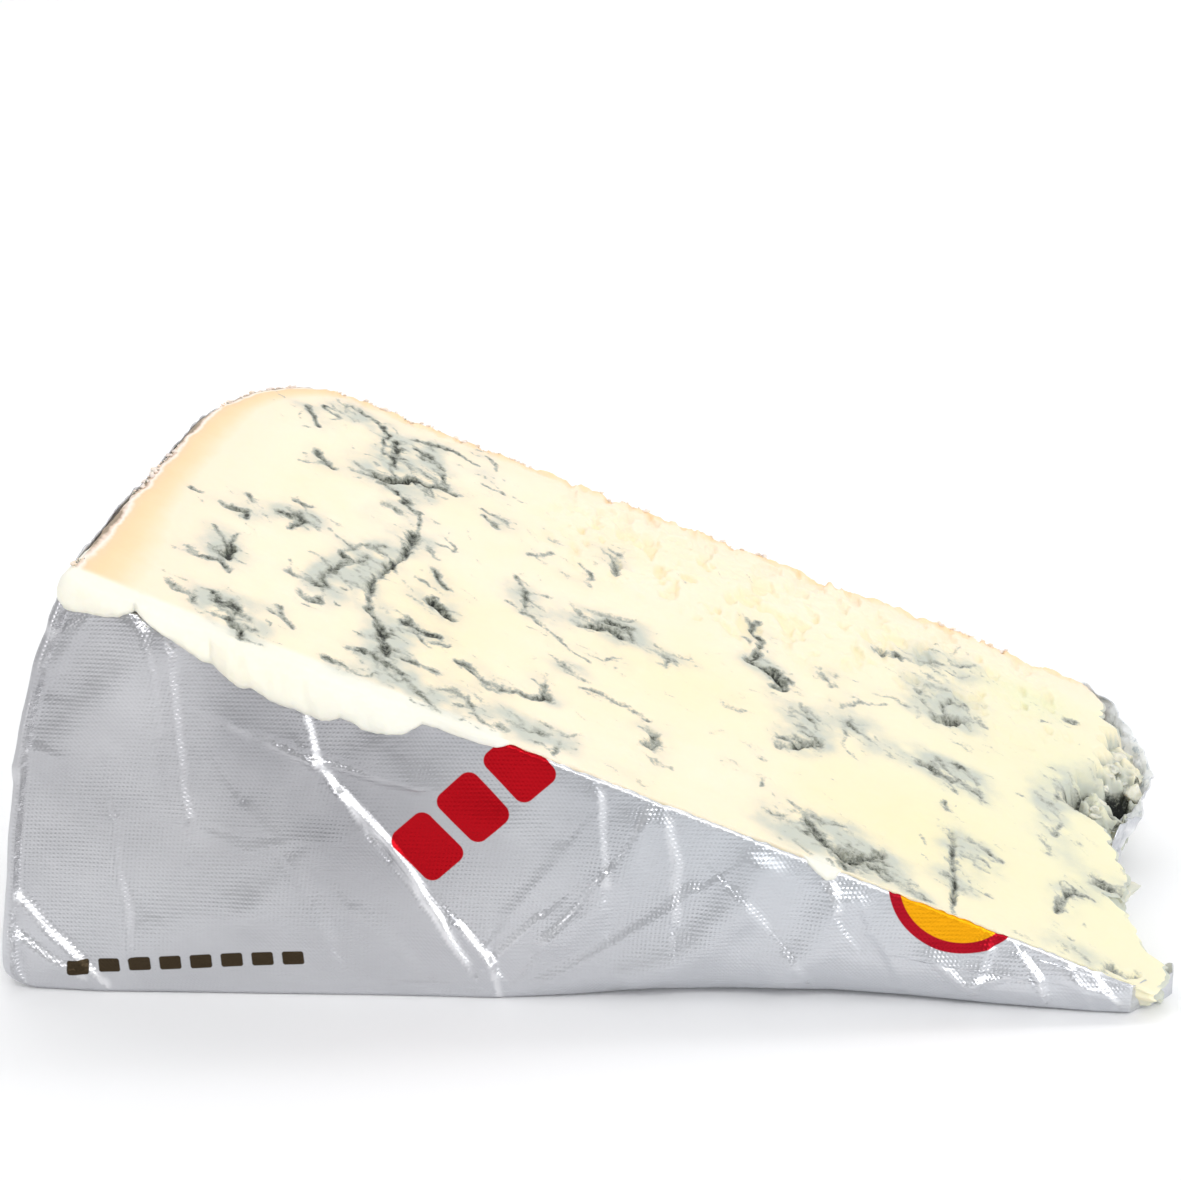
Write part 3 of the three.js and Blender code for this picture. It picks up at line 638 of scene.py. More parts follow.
def tip_end(y):
    """How far the broken tip reaches at each depth."""
    line = np.interp(y, TIP_LINE[:, 0], TIP_LINE[:, 1])
    return line + 0.9 * (noise(y, 0 * y, 1.6, 21) - 0.5) + 0.6 * (noise(y, 0 * y, 0.7, 22) - 0.5)


print("x of the tip in front, in the notch and behind:", np.round(tip_end(np.array([0.0, 17.6, 57.0])), 1))

# %% [markdown]
# ### The hollow at the tip
#
# Beyond the middle of its depth the tip has fallen in. Between a second line and the tip lies a craggy
# hollow, with a pit beside the foil and a crevice where the paste broke off. It could be cut out with a
# boolean, but taking a depth away from the cut face keeps one clean grid, and noise can shape all of it.

# %% The hollow at the tip
BREAK_LINE = np.array([  # y, x: the hollow starts at this line
    (35.5, 4), (36.6, -4.6), (38.5, -8.8), (43, -8.6), (48, -6.9), (53, -3.3), (57, -2.2), (61, -1.4),
    (65, -1.0), (67, 4),
])


def break_at(y):
    """Where the hollow starts at each depth."""
    return np.interp(y, BREAK_LINE[:, 0], BREAK_LINE[:, 1])


def tip_pits(x, y):
    """Depth of the pit beside the foil and of the crevice where the paste broke off."""
    pit = 6.0 * np.exp(-(((x + 0.2) / 1.5) ** 4) - (((y - 49.6) / 2.4) ** 4))
    crevice = 3.4 * np.exp(-(((x + 7.6 - 0.25 * (y - 47)) / 0.8) ** 2) - (((y - 47.5) / 3.2) ** 4))
    return pit + crevice


def fallen_in(x, y):
    """Depth of the craggy hollow: lumps with sharp valleys between them."""
    past = x - break_at(y) + 1.6 * (noise(x, y, 1.8, 23) - 0.5)
    wide, narrow = crumple(x + 0.3 * y, y, 4.2, 24), crumple(x, y, 1.7, 25)
    valleys = np.maximum(0, wide - 0.45) + 0.5 * np.maximum(0, narrow - 0.5)
    craggy = 1.0 + 5.5 * valleys + 1.3 * (noise(x, y, 0.9, 26) - 0.5)
    return step_between(-0.3, 0.9, past) * (craggy + tip_pits(x, y))


# %% [markdown]
# ## The smear over the printed edge
#
# Where the knife left the slice it dragged soft paste with it, which now hangs down over the foil as a
# thick lip. Seen in section, a lip goes out over the foil's edge, down, and back in underneath. Its
# hang and its thickness are tables along the edge, and where both are nothing the edge is plain. Place
# along the edge is x, carried on round the rind's corner.

# %% Hang and thickness of the smear
LIP = np.array([  # place along the edge, hang, thickness outside the foil
    (-146.0, 0.0, 0.0), (-144.5, 2.2, 0.2), (-142.5, 3.6, 0.5), (-140.5, 4.2, 0.9), (-138.5, 4.5, 1.5),
    (-136.5, 4.4, 2.0), (-134.5, 3.9, 2.2), (-132.6, 3.0, 1.9), (-131.4, 2.2, 1.2), (-130.7, 1.7, 0.4),
    (-130.1, 1.8, 1.3), (-128.6, 2.2, 2.2), (-127, 2.6, 2.6), (-125.5, 2.9, 2.7), (-124, 3.7, 2.5),
    (-122.2, 4.4, 2.0), (-121, 4.5, 1.3), (-120.2, 4.9, 1.9), (-118.6, 5.3, 2.8), (-116, 5.6, 3.0),
    (-114, 6.1, 2.8), (-112, 6.4, 2.4), (-110, 6.1, 2.5), (-108, 5.9, 2.7), (-106, 5.6, 2.7),
    (-104, 5.4, 2.5), (-102, 5.4, 2.3), (-100, 5.3, 2.2), (-98.5, 4.9, 2.0), (-97, 4.0, 1.7),
    (-95.6, 2.8, 1.3), (-94.4, 1.7, 0.8), (-92.5, 1.5, 0.5), (-89, 1.8, 0.5), (-85, 1.4, 0.4),
    (-82.5, 0.0, 0.2),
    (-46.6, 0.0, 0.0), (-45.4, 0.9, 0.5), (-44.2, 1.6, 0.8), (-43.0, 2.0, 0.9), (-42.0, 1.5, 0.6),
    (-41, 0.0, 0.0),
])
LIP_SECTION = np.array([  # outward by thickness, outward by gap, downward by hang
    (0.00, 0.0, 0.00), (0.42, 0.5, 0.03), (0.80, 1.0, 0.17), (1.00, 1.0, 0.42), (0.98, 1.0, 0.68),
    (0.72, 1.0, 0.90), (0.36, 1.0, 1.00), (0.06, 1.0, 0.93), (0.00, 1.0, 0.60), (0.00, 0.4, 0.28),
    (0.00, 0.0, 0.20),
])
LIP_GAP = 0.55  # from the paste to just outside the foil


def lip_path(place, share):
    """Outward and downward distance of the lip's skin, from the edge (share 0) to under it (share 1)."""
    hang = np.interp(place, LIP[:, 0], LIP[:, 1]) * (0.86 + 0.28 * rough_noise(place, 0 * place, 2.6, 31))
    thick = np.interp(place, LIP[:, 0], LIP[:, 2])
    at = np.linspace(0, 1, len(LIP_SECTION))
    out_by_thick, out_by_gap, down_by_hang = (np.interp(share, at, LIP_SECTION[:, i]) for i in range(3))
    live = step_between(0.2, 1.5, hang)
    outward = out_by_thick * thick + out_by_gap * LIP_GAP * live
    return outward, down_by_hang * hang, hang


print("the smear hangs down", LIP[:, 1].max(), "mm at most")

# %% [markdown]
# ## Relief of the cut face
#
# A wire or a knife leaves soft waves. Near the natural side the paste was firmer and tore, so it is
# pitted like a broken crust, and the blade dragged it into low ridges that run across the slice. The
# clefts of the map go in as real depth, so that light falls into them, and mould stands up as grit.


# %% Relief
def torn_share(x, y):
    """Where the paste tore, from 0 to 1: the far half, short of the rind and the tip."""
    ragged_y = y + 8 * noise(x, y, 14, 44)
    return step_between(48, 62, ragged_y) * step_between(-92, -76, x) * (1 - step_between(-10, -4, x))


def torn_pits(x, y):
    """Pits in torn paste, from 0 to 1."""
    return step_between(0.50, 0.74, rough_noise(x, y / 1.7, 2.1, 45))


def cut_relief(x, y):
    """Height of the cut face over the bare plane, in millimetres."""
    waves = 0.40 * (noise(x, y, 19, 41) - 0.5) + 0.24 * (noise(x / 1.8, y, 4.4, 42) - 0.5)
    grain = 0.05 * (noise(x, y, 0.8, 43) - 0.5)
    crust = 0.7 * (rough_noise(x, y, 1.6, 46) - 0.5) - 0.75 * torn_pits(x, y)
    ridges = 0.9 * (noise(x + 0.1 * y, y / 4.0, 2.6, 48) - 0.5)
    near_tip = step_between(-34, -16, x) * step_between(26, 44, y)
    crumbs = step_between(2.6, 0.4, SLICE_DEPTH - y) * (0.9 * rough_noise(x, y, 1.3, 47) - 0.5)
    mouldy = np.clip(1.5 * pick(mould, x, y), 0, 1)
    grit = mouldy * (0.55 * (noise(x, y, 0.62, 49) - 0.5) + 0.45 * (crumple(x, y, 1.5, 50) - 0.6))
    varied = 0.55 + 0.9 * noise(x, y, 1.1, 55)
    clefts = 0.45 * pick(hollow, x, y) * varied * step_between(-0.3, 2.0, y) - grit
    torn = torn_share(x, y)
    cut = waves + grain + torn * crust + np.maximum(0.7 * torn, 0.6 * near_tip) * ridges + crumbs - clefts
    return cut - fallen_in(x, y)


# %% [markdown]
# ## Making meshes from arrays
#
# Meshes this fine are quickest to make from arrays: one array of places, one of faces. The values that
# the material needs later, such as where mould is, go along as point attributes.


# %% Mesh helpers
def grid_faces(first, rows, columns, wrap=False):
    """Four-sided faces over a block of points, row after row, closed round if wrap is set."""
    across = columns if wrap else columns - 1
    r, c = np.meshgrid(np.arange(rows - 1), np.arange(across), indexing="ij")
    a = first + r * columns + c
    b = first + r * columns + (c + 1) % columns
    return np.stack([a, b, b + columns, a + columns], axis=-1).reshape(-1, 4)


def make_piece(name, places, quads, rings, attributes):
    """A smooth-shaded object from places in sketch millimetres, quads, and many-sided end faces."""
    mesh = bpy.data.meshes.new(name)
    faces = quads.tolist() + [list(map(int, ring)) for ring in rings]
    mesh.from_pydata(((places + SHIFT) / 1000).tolist(), [], faces)
    mesh.polygons.foreach_set("use_smooth", [True] * len(mesh.polygons))
    for label, values in attributes.items():
        layer = mesh.attributes.new(label, "FLOAT", "POINT")
        layer.data.foreach_set("value", np.asarray(values, dtype=np.float32))
    mesh.validate()
    mesh.update()
    piece = bpy.data.objects.new(name, mesh)
    bpy.context.scene.collection.objects.link(piece)
    print(name, len(mesh.vertices), "points,", len(mesh.polygons), "faces")
    return piece


# %% [markdown]
# ## The paste
#
# One closed mesh: a fine grid for the cut face, and rows that go down from its edge all the way round.
# The grid must be finer than the smallest pit, about a millimetre.

# %% Grid over the cut face
PASTE_GROW = 0.5  # the paste's skin, outside the solid cheese and close under the foil
CUT_LENGTH = 146  # along the cut, from the rind to the tip
spacing = 0.26
row_y, row_radius = depth_rows(spacing, PASTE_GROW)
columns = int(CUT_LENGTH / spacing)
shares = np.linspace(0, 1, columns)
share_grid, y_grid = np.meshgrid(shares, row_y)
radius_grid = np.repeat(row_radius[:, None], columns, axis=1)
tip_grid = tip_end(y_grid)
top_x, top_z = wedge_point(share_grid, y_grid, radius_grid, 1.0, tip_grid, PASTE_GROW)
flat_z = top_z.copy()
top_z = top_z + cut_relief(top_x, y_grid)
top_z = np.maximum(top_z, 0.25 * flat_z)  # no pit goes through the thin tip
top = np.stack([top_x, y_grid, top_z], axis=-1)
rows = len(row_y)
print("cut face grid:", rows, "x", columns)

# %% [markdown]
# The rows down the sides start from the points along the grid's edge. Each edge point keeps what
# `wedge_point` needs, and the direction that is outwards there: square to the edge, but straight towards
# the viewer along the printed side, so that the smear's rows don't cross where the edge is ragged.

# %% Perimeter of the cut face
index = np.arange(rows * columns).reshape(rows, columns)
edge = np.concatenate([index[0, :-1], index[:-1, -1], index[-1, :0:-1], index[:0:-1, 0]])
edge_share = share_grid.ravel()[edge]
edge_y = y_grid.ravel()[edge]
edge_radius = radius_grid.ravel()[edge]
edge_tip = tip_grid.ravel()[edge]
edge_top = top.reshape(-1, 3)[edge]
edge_flat = flat_z.ravel()[edge]
print("points along the edge:", len(edge))

# %% Outwards along the perimeter
before, after = np.roll(edge_top, 1, axis=0), np.roll(edge_top, -1, axis=0)
ahead = (after - before)[:, :2]
ahead /= np.linalg.norm(ahead, axis=1, keepdims=True) + 1e-9
outward = np.stack([ahead[:, 1], -ahead[:, 0]], axis=1)
near_side = edge_y < 12
front = (edge_y < 3) & (edge_share > 0.02)
on_tip = step_between(0.985, 1.0, edge_share)[:, None]
outward = np.where(front[:, None], np.array([0.0, -1.0]) * (1 - on_tip) + outward * on_tip, outward)
round_the_corner = edge_top[0, 0] - edge_y - PASTE_GROW  # place along the edge, on the rind side
place = np.where(edge_share > 0.001, edge_top[:, 0], round_the_corner)
place = np.where(near_side, place, 0)

# %% [markdown]
# The first rows below the edge draw the smear where there is one. Elsewhere they only go down a little
# way, the bridge, and bulge as soft paste does.

# %% Rows of the smear
LIP_ROWS = 22
BRIDGE = 1.1
bridge = np.minimum(BRIDGE, 0.35 * edge_top[:, 2])  # shorter where the tip is thin
side_blocks, lip_blocks = [], []
for row in range(1, LIP_ROWS):
    share = row / LIP_ROWS
    out, down, hang = lip_path(place, np.full_like(place, share))
    has_lip = step_between(0.1, 1.0, hang) * near_side
    soft_bulge = rough_noise(edge_top[:, 0], edge_y, 2.2, 51) + 0.1
    plain = 0.8 * math.sin(math.pi * min(1, share * 1.6)) * soft_bulge
    plain *= 1 - 0.8 * front * (1 - on_tip[:, 0])
    lumpy = 1 + 0.5 * (rough_noise(place, np.full_like(place, 9 * share), 3.6, 54) - 0.5)
    out = out * lumpy
    block = edge_top.copy()
    block[:, :2] += outward * (out * has_lip + plain * (1 - has_lip))[:, None]
    block[:, 2] -= down * has_lip + bridge * share * (1 - has_lip)
    side_blocks.append(block)
    lip_blocks.append(has_lip)
print("rows of the smear:", len(side_blocks))

# %% [markdown]
# Below them come the sides. They are mostly hidden by foil, but at the tip they show as broken cheese,
# so noise pushes them in and out there. In the far half the foil's end is bunched up and leans, and the
# paste has slumped against it. That is why the foil's end is described here, before the foil itself.

# %% End of the foil behind the tip
FOIL_TIP_LINE = np.array([  # y, x
    (-1.5, -4.6), (0, -3.2), (2, -1.6), (4, 0.2), (6.5, 2.2), (8.5, 2.4), (12, 0.6), (17, -3.2),
    (24, -2.4), (33, -3.2), (37, -2.8), (44, 1.4), (50.6, 3.8), (57, 5.4), (61, 5.8), (66.8, 4.4),
    (73.5, 2.8), (78, -1.6), (80, -3.0),
])


def foil_tip(y, height_share):
    """Where the foil ends behind the tip. In the far half its foot leans in under the tip."""
    line = np.interp(y, *FOIL_TIP_LINE.T)
    lean = 7.5 * (1 - height_share) * step_between(38, 48, y) * (1 - step_between(70, 78, y))
    pleats = 0.9 * (noise(y, 0 * y, 3.6, 71) - 0.5) + 0.6 * (noise(y, 0 * y, 1.5, 72) - 0.5)
    return line - lean + pleats * step_between(33, 40, y)


# %% Rows down the sides
SIDE_ROWS = 22
for row in range(SIDE_ROWS):
    height_share = (1 - row / (SIDE_ROWS - 1)) ** 1.3
    slump = step_between(1.0, 0.5, height_share) * step_between(34, 40, edge_y)
    slump = slump * (1 - step_between(74, 78, edge_y))
    inside_foil = foil_tip(edge_y, height_share) - 0.4
    low_tip = edge_tip * (1 - 0.95 * slump) + inside_foil * 0.95 * slump
    x, z = wedge_point(edge_share, edge_y, edge_radius, height_share, low_tip, PASTE_GROW)
    scale = (edge_top[:, 2] - bridge + PASTE_GROW) / (edge_flat + PASTE_GROW)
    z = (z + PASTE_GROW) * scale - PASTE_GROW
    bulge = math.sin(math.pi * min(1, 1.3 * (1 - height_share))) ** 0.5
    crumbly = step_between(0.97, 1.0, edge_share) * bulge
    dents = 2.4 * (rough_noise(edge_y, z, 2.6, 52) - 0.62) + 1.0 * (noise(edge_y, z, 0.9, 53) - 0.5)
    dents = np.minimum(dents, 1.5 - 1.4 * step_between(32, 36, edge_y))  # no further than the foil
    inwards = lower_edge_shift(x, z + PASTE_GROW) + 0.8 * step_between(3.5, 0, z)
    inwards *= step_between(3, 0.5, edge_y)
    inwards *= step_between(0.2, 1.2, edge_top[:, 2] - bridge - z)
    side_blocks.append(np.stack([x + crumbly * dents, edge_y + inwards, z], axis=-1))
    lip_blocks.append(np.zeros(len(edge)))
print("rows in all:", len(side_blocks))

# %% [markdown]
# The grid and the rows become one list of points. A joint of quads sews the grid's edge to the first
# row, and one many-sided face closes the floor.

# %% Join the rows to the grid
places = np.concatenate([top.reshape(-1, 3)] + side_blocks)
ring = len(edge)
first = rows * columns
this_way, next_way = first + np.arange(ring), first + (np.arange(ring) + 1) % ring
joint = np.stack([edge, this_way, next_way, np.roll(edge, -1)], axis=-1)
quads = [grid_faces(0, rows, columns), grid_faces(first, len(side_blocks), ring, wrap=True)[:, ::-1], joint]
floor_ring = first + (len(side_blocks) - 1) * ring + np.arange(ring)
print("paste:", len(places), "points")

# %% [markdown]
# ### What the material needs to know
#
# Mould, stain, depth and the distance to the rind are kept for every point. Below the edge the map is
# carried down the sides, so a cleft that reaches the tip also shows on the broken end. The broken end
# and the floor of the hollow are mouldy of themselves, because air got in there, and the deeper the
# floor lies, the darker it is made: mould, and painted shade in the depth.

# %% Mould and stain of every point
x_all, y_all, z_all = places[:, 0], places[:, 1], places[:, 2]
map_x = np.minimum(x_all, CANVAS_X[1] - 1)
side = np.zeros(len(places))
side[first:] = 1
broken = side * step_between(-16, -7, x_all)
broken_mould = step_between(0.5, 0.72, rough_noise(y_all, z_all, 2.2, 61)) * broken
broken_mould *= step_between(12, 40, y_all)
broken_mould *= 1 - 0.8 * step_between(58, 66, y_all)
broken_stain = step_between(0.3, 0.65, rough_noise(y_all, z_all, 5, 62)) * broken
paste_mould = np.maximum(pick(mould, map_x, y_all) * (1 - 0.8 * side), 0.8 * broken_mould)
paste_stain = np.maximum(pick(stain, map_x, y_all) * (1 - 0.7 * side), 0.9 * broken_stain)
sunk = fallen_in(x_all, y_all) * (1 - side)
ragged = 1.6 * (noise(x_all, y_all, 1.4, 63) - 0.5)
# Darker the deeper the hollow lies: mould, and painted shade in the depth.
paste_mould = np.maximum(paste_mould, 0.9 * step_between(2.6, 4.6, sunk + ragged))
paste_stain = np.maximum(paste_stain, 0.85 * step_between(0.4, 2.8, sunk))
# The depth of clefts and pits, which later darkens the mould there with painted shade.
paste_cleft = np.clip(pick(hollow, map_x, y_all) / 3 + 0.4 * tip_pits(x_all, y_all), 0, 1) * (1 - side)
print("mould on", round(100 * float((paste_mould > 0.4).mean()), 1), "% of the points")

# %% [markdown]
# The distance to the rind counts from the rind side and from the natural flat side, whichever is
# nearer. The peach band is narrower at the far side, so distances there are counted larger.

# %% Smear and rind of every point
smear = np.concatenate([np.zeros(first)] + lip_blocks)
_, _, hang_here = lip_path(x_all, np.zeros_like(x_all))
smear[:first] = (step_between(0.3, 2.0, hang_here) * np.exp(-((y_all + 0.5) / 1.8) ** 2))[:first]

rim_radius = np.interp(y_all, row_y, row_radius)
narrower = 1 + 0.5 * step_between(8, 30, y_all) + 0.5 * step_between(48, 66, y_all)
to_rind = (rim_radius - np.hypot(x_all, z_all)) * narrower
to_far = SLICE_DEPTH + PASTE_GROW - y_all
RIND_REACH = 40  # the distance that becomes 1
rind = np.clip(np.minimum(to_rind, 4.2 + 2.4 * to_far) / RIND_REACH, 0, 1)
print("smeared points:", int((smear > 0.5).sum()))

# %% [markdown]
# Some patches of the paste are riper and yellower, and some are greener. The pits of the torn crust are
# yellower too, as painted shade. Each row is one patch: centre, half length, half width and strength.

# %% Riper and greener patches
RIPE_PATCHES = [
    (-30, 17, 15, 12, 1.0), (-62, 30, 14, 10, 0.5), (-95, 20, 10, 12, 0.4), (-6, 20, 6, 16, 0.4),
]
GREEN_PATCHES = [
    (-12, 66, 11, 10, 1.0), (-40, 58, 16, 6, 0.4), (-8, 44, 15, 26, 0.85), (-8, 25, 34, 60, 0.75),
]


def with_patches(start, rows):
    """The starting values, raised to the strength of each patch."""
    for centre_x, centre_y, long, wide, strength in rows:
        patch = strength * np.exp(-(((x_all - centre_x) / long) ** 2) - ((y_all - centre_y) / wide) ** 2)
        start = np.maximum(start, patch)
    return start


# Painted shade: the pits of the torn crust are made yellower.
painted_pit_shade = 0.75 * torn_share(x_all, y_all) * torn_pits(x_all, y_all) * (1 - side)
ripe_and_pit_shade = with_patches(painted_pit_shade, RIPE_PATCHES)
green = with_patches(np.zeros(len(places)), GREEN_PATCHES)
print("patches:", len(RIPE_PATCHES), "ripe,", len(GREEN_PATCHES), "green")

# %% [markdown]
# With all of that the paste can become an object. It takes the place of the solid cheese.

# %% Paste object
paste = make_piece(
    "blue_cheese",
    places,
    np.concatenate(quads),
    rings=[floor_ring[::-1]],
    attributes={
        "mould": paste_mould,
        "stain": paste_stain,
        "rind": rind,
        "cleft": paste_cleft,
        "smear": smear,
        "ripe_and_pit_shade": ripe_and_pit_shade,
        "green": green,
    },
)
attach(paste, "root")
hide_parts("cheese")

# %% [markdown]
# ## Lumps at the broken tip
#
# Where the paste has fallen in, lumps of it lie in the hollow. The larger ones are kept as rows, and
# small ones are scattered over the hollow's floor, where each rests on the paste under it.

# %% Where the lumps lie
LUMPS = [  # centre, radii, mould
    (-3.4, 23.2, 6.6, 3.0, 2.4, 1.5, 0.45),
    (1.0, 61.2, 11.8, 1.7, 2.0, 1.4, 0.25),
    (-3.8, 46.8, 9.6, 1.8, 2.0, 1.4, 0.50),
    (2.6, 53.0, 9.8, 1.4, 1.6, 1.2, 0.35),
    (-6.4, 41.6, 8.8, 1.5, 1.5, 1.0, 0.60),
]
SMALL_LUMPS = 14

lump_rows = list(LUMPS)
for _ in range(SMALL_LUMPS):
    at_y = dice.uniform(41, 60)
    at_x = dice.uniform(break_at(at_y) + 1.2, tip_end(at_y) - 1)
    size = dice.uniform(0.35, 0.9)
    resting_on = float(cut_height(at_x, at_y) - fallen_in(np.array(at_x), np.array(at_y)))
    radius_x, radius_y = size * dice.uniform(0.8, 1.4), size * dice.uniform(0.8, 1.4)
    lump_rows.append((at_x, at_y, resting_on, radius_x, radius_y, 0.8 * size, dice.uniform(0.1, 0.6)))
print(len(lump_rows), "lumps")

# %% [markdown]
# Crumbly cheese breaks in flat faces, so each lump is a ball cut back to a dozen or so random planes,
# with their meeting lines rounded, and then roughened. The underside is darker than the top: more mould,
# and painted shade.


# %% Lumps
def broken_faces(ball, count=14, sharpness=16):
    """How far a lump with flat broken faces reaches along each direction of a ball."""
    facing = dice.normal(size=(count, 3))
    facing /= np.linalg.norm(facing, axis=1, keepdims=True)
    cut_back = dice.uniform(0.62, 1.0, count)
    toward = np.maximum(ball @ facing.T, 0.05) / cut_back
    return np.minimum(1.25, (toward**sharpness).sum(axis=1) ** (-1 / sharpness))


def make_lumps(name, rows, across, down, rind=1.0, stained=1.0):
    """Broken lumps as one object, with the same attributes as the paste."""
    around = np.linspace(0, 2 * math.pi, across, endpoint=False)
    tilt = np.linspace(0.02, math.pi - 0.02, down)
    around, tilt = (values.ravel() for values in np.meshgrid(around, tilt))
    ball = np.stack([np.sin(tilt) * np.cos(around), np.sin(tilt) * np.sin(around), np.cos(tilt)], axis=-1)
    all_places, all_quads, all_rings, all_mould, all_stain = [], [], [], [], []
    for number, (x, y, z, rx, ry, rz, moulded) in enumerate(rows):
        a, b = ball[:, 0] + 0.7 * ball[:, 2] + 3 * number, ball[:, 1] - 0.6 * ball[:, 2] + 3 * number
        coarse, fine = crumple(a, b, 0.9, 81) - 0.55, noise(a, b, 0.16, 82) - 0.5
        swell = broken_faces(ball) * (1 + 0.5 * coarse + 0.16 * fine)
        first_place = number * len(ball)
        all_places.append(ball * swell[:, None] * (rx, ry, rz) + (x, y, z))
        all_quads.append(grid_faces(first_place, down, across, wrap=True)[:, ::-1])
        top_ring = first_place + np.arange(across)
        all_rings += [top_ring, (top_ring + (down - 1) * across)[::-1]]
        # The underside is darker: mould, and painted shade.
        low = step_between(0.3, -0.9, ball[:, 2])
        all_mould.append(moulded * (0.45 * low + 0.9 * step_between(0.4, 0.85, rough_noise(a, b, 0.7, 84))))
        all_stain.append(stained * (0.2 + 1.2 * moulded * rough_noise(a, b, 0.9, 85)))
    all_places = np.concatenate(all_places)
    still = np.zeros(len(all_places))
    return make_piece(name, all_places, np.concatenate(all_quads), all_rings, {
        "mould": np.concatenate(all_mould),
        "stain": np.concatenate(all_stain),
        "rind": still + rind,
        "cleft": still,
        "smear": still + 0.4 * stained,
        "ripe_and_pit_shade": still,
        "green": still + 0.3 * stained,
    })


across, down = ((32, 20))
lumps = make_lumps("tip_lumps", lump_rows, across, down)
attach(lumps, "root")

# %% [markdown]
# Finer crumbs lie along the two edges that the knife went through last: the far one and the rind's.
# They keep to stretches, with bare edge between, and most are tiny. At the rind some are dark with old
# mould and wrapper, most of all in its front corner.


# %% Crumbs along the edges
def dark_share(y, at_rind):
    """How many of the crumbs are dark at a place."""
    if not at_rind:
        return 0.03
    return 0.6 if y < 12 else 0.12


crumb_rows = []
far_row, rind_column = index[-1, :], index[:, 0]
for side_places, count, out_x, out_y in ((far_row, 420, 0.0, 0.5), (rind_column, 240, -0.5, 0.0)):
    for which in dice.integers(8, len(side_places) - 8, count):
        x, y, z = places[side_places[which]]
        if noise(x, y, 9, 91) < 0.45:
            continue
        size = 0.10 + 0.30 * dice.random() ** 3
        dark = 0.9 if dice.random() < dark_share(y, at_rind=out_x != 0) else 0.0
        inwards = dice.uniform(-0.6, 0.8)
        crumb_rows.append((
            x + out_x * inwards * 1.2, y + out_y * inwards * 1.2, z + 0.25 * size,
            size * dice.uniform(0.8, 1.6), size * dice.uniform(0.8, 1.4), size * 0.7, dark,
        ))
crumbs = make_lumps("edge_crumbs", crumb_rows, 8, 6, rind=0.020, stained=0.0)
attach(crumbs, "root")

# %% [markdown]
# ## The foil
#
# The foil is a sheet folded round the slice and creased by handling. It is built as a wall of points all
# round the wedge, with a flat underside, then given its thickness by a Solidify modifier. A cloth
# simulation could crease it too, but wouldn't put any crease where it is wanted.
#
# Creases are part of the shape: each is a line with a height, and falls away from a sharp crest. Soft
# folds are wider, and round at the top. A row of either table is a height, a width, how strong a painted
# highlight the steep side carries, with its emboss flattened to match, and points (x, z).

# %% Creases and soft folds on the printed side
CREASES = """
0.70 0.9 1.00 -109.6,39 -109.2,36 -108.4,32.6
0.60 0.7 0.80 -108.4,32.6 -106.8,31 -105.4,28.4
0.75 1.0 1.00 -105.4,28.4 -102,25 -99,21.4 -97,18 -95,14 -92.4,10 -89.8,5.4
0.75 0.9 1.00 -90.4,10.6 -88,7.4 -86.4,5.4
0.60 0.9 0.90 -86.4,5.6 -86.2,3 -86.0,0.6
-0.45 0.9 0.30 -79.6,12 -83,9 -86.4,5.6
0.80 1.1 0.80 -149.8,13.6 -146,9.4 -142,5 -138,1.4
0.65 0.9 0.60 -150,8.4 -145.4,5 -141,2.4
0.60 1.2 0.00 -130.0,50 -129.0,44 -129.0,37
0.70 1.3 0.00 -126.6,47 -126.8,40 -126.6,30 -126,25
0.60 1.3 0.00 -135.6,24 -135.2,15 -134.2,6
0.35 1.4 0.00 -146,48 -141,44 -136,52
-0.40 1.2 0.00 -147,40 -142,45 -138,50
0.40 0.8 0.15 -95,29.4 -100,30.4 -111,33.6 -119,37.6
0.55 1.1 0.35 -72.2,29 -72,22 -71.6,17
-0.50 1.4 0.30 -65.4,26.4 -67.6,20 -72,14.6 -79,8.6
0.45 1.2 0.30 -63.4,25.4 -62.6,19.4 -63,12
-0.45 1.6 0.00 -60,16 -66,11 -74,6 -80,2.6
-0.35 1.6 0.00 -77,21 -80,16 -84,12
0.55 1.2 0.40 -44.6,20 -42.6,17.6 -41.8,14
0.40 1.2 0.00 -55,16 -50,10 -46,4
-0.40 1.2 0.00 -37,11 -34,6 -33.4,3
0.70 0.9 0.30 -22.4,9 -23.6,5.6 -24,3
0.70 0.8 0.30 -18,8.4 -15.6,5 -15,2
-0.45 0.9 0.20 -29,7 -25,4 -20,5.6
0.70 0.7 0.70 -12,6.6 -10.4,4.4 -7.4,3.6 -3,4
0.60 0.7 0.50 -9,6 -6,2
0.45 0.8 0.00 -100,1.6 -94,2.2 -88,1.4
0.40 0.8 0.00 -151,44.6 -146,42.6
0.40 0.8 0.00 -151,40.6 -146.4,40.6
0.40 0.8 0.00 -151,35.6 -147.4,34.4 -144,34
0.35 1.6 0.00 -118,26 -112,18 -108,8
-0.30 1.6 0.00 -126,24 -118,20 -112,22
0.30 1.8 0.00 -104,12 -98,6 -96,2
"""
SOFT_FOLDS = """
1.00 2.8 0 -51,19.5 -54.5,13.5 -59.5,8.5 -67,3
0.75 2.4 0 -40.5,15 -44,8.5 -49,3.5
0.55 3.0 0 -118,11 -111,19 -104,23
0.60 2.4 0 -77.5,9 -71.5,15 -68,24
0.70 3.4 0 -142,34 -134,42 -126,50
0.60 3.0 0 -100,34 -92,27 -84,24
0.45 4.0 0 -131,8 -122,12 -112,10
0.55 2.2 0 -30,7 -24,4.5 -16,4
"""
creases, soft_folds = read_paths(CREASES), read_paths(SOFT_FOLDS)
print(len(creases), "creases and", len(soft_folds), "soft folds")


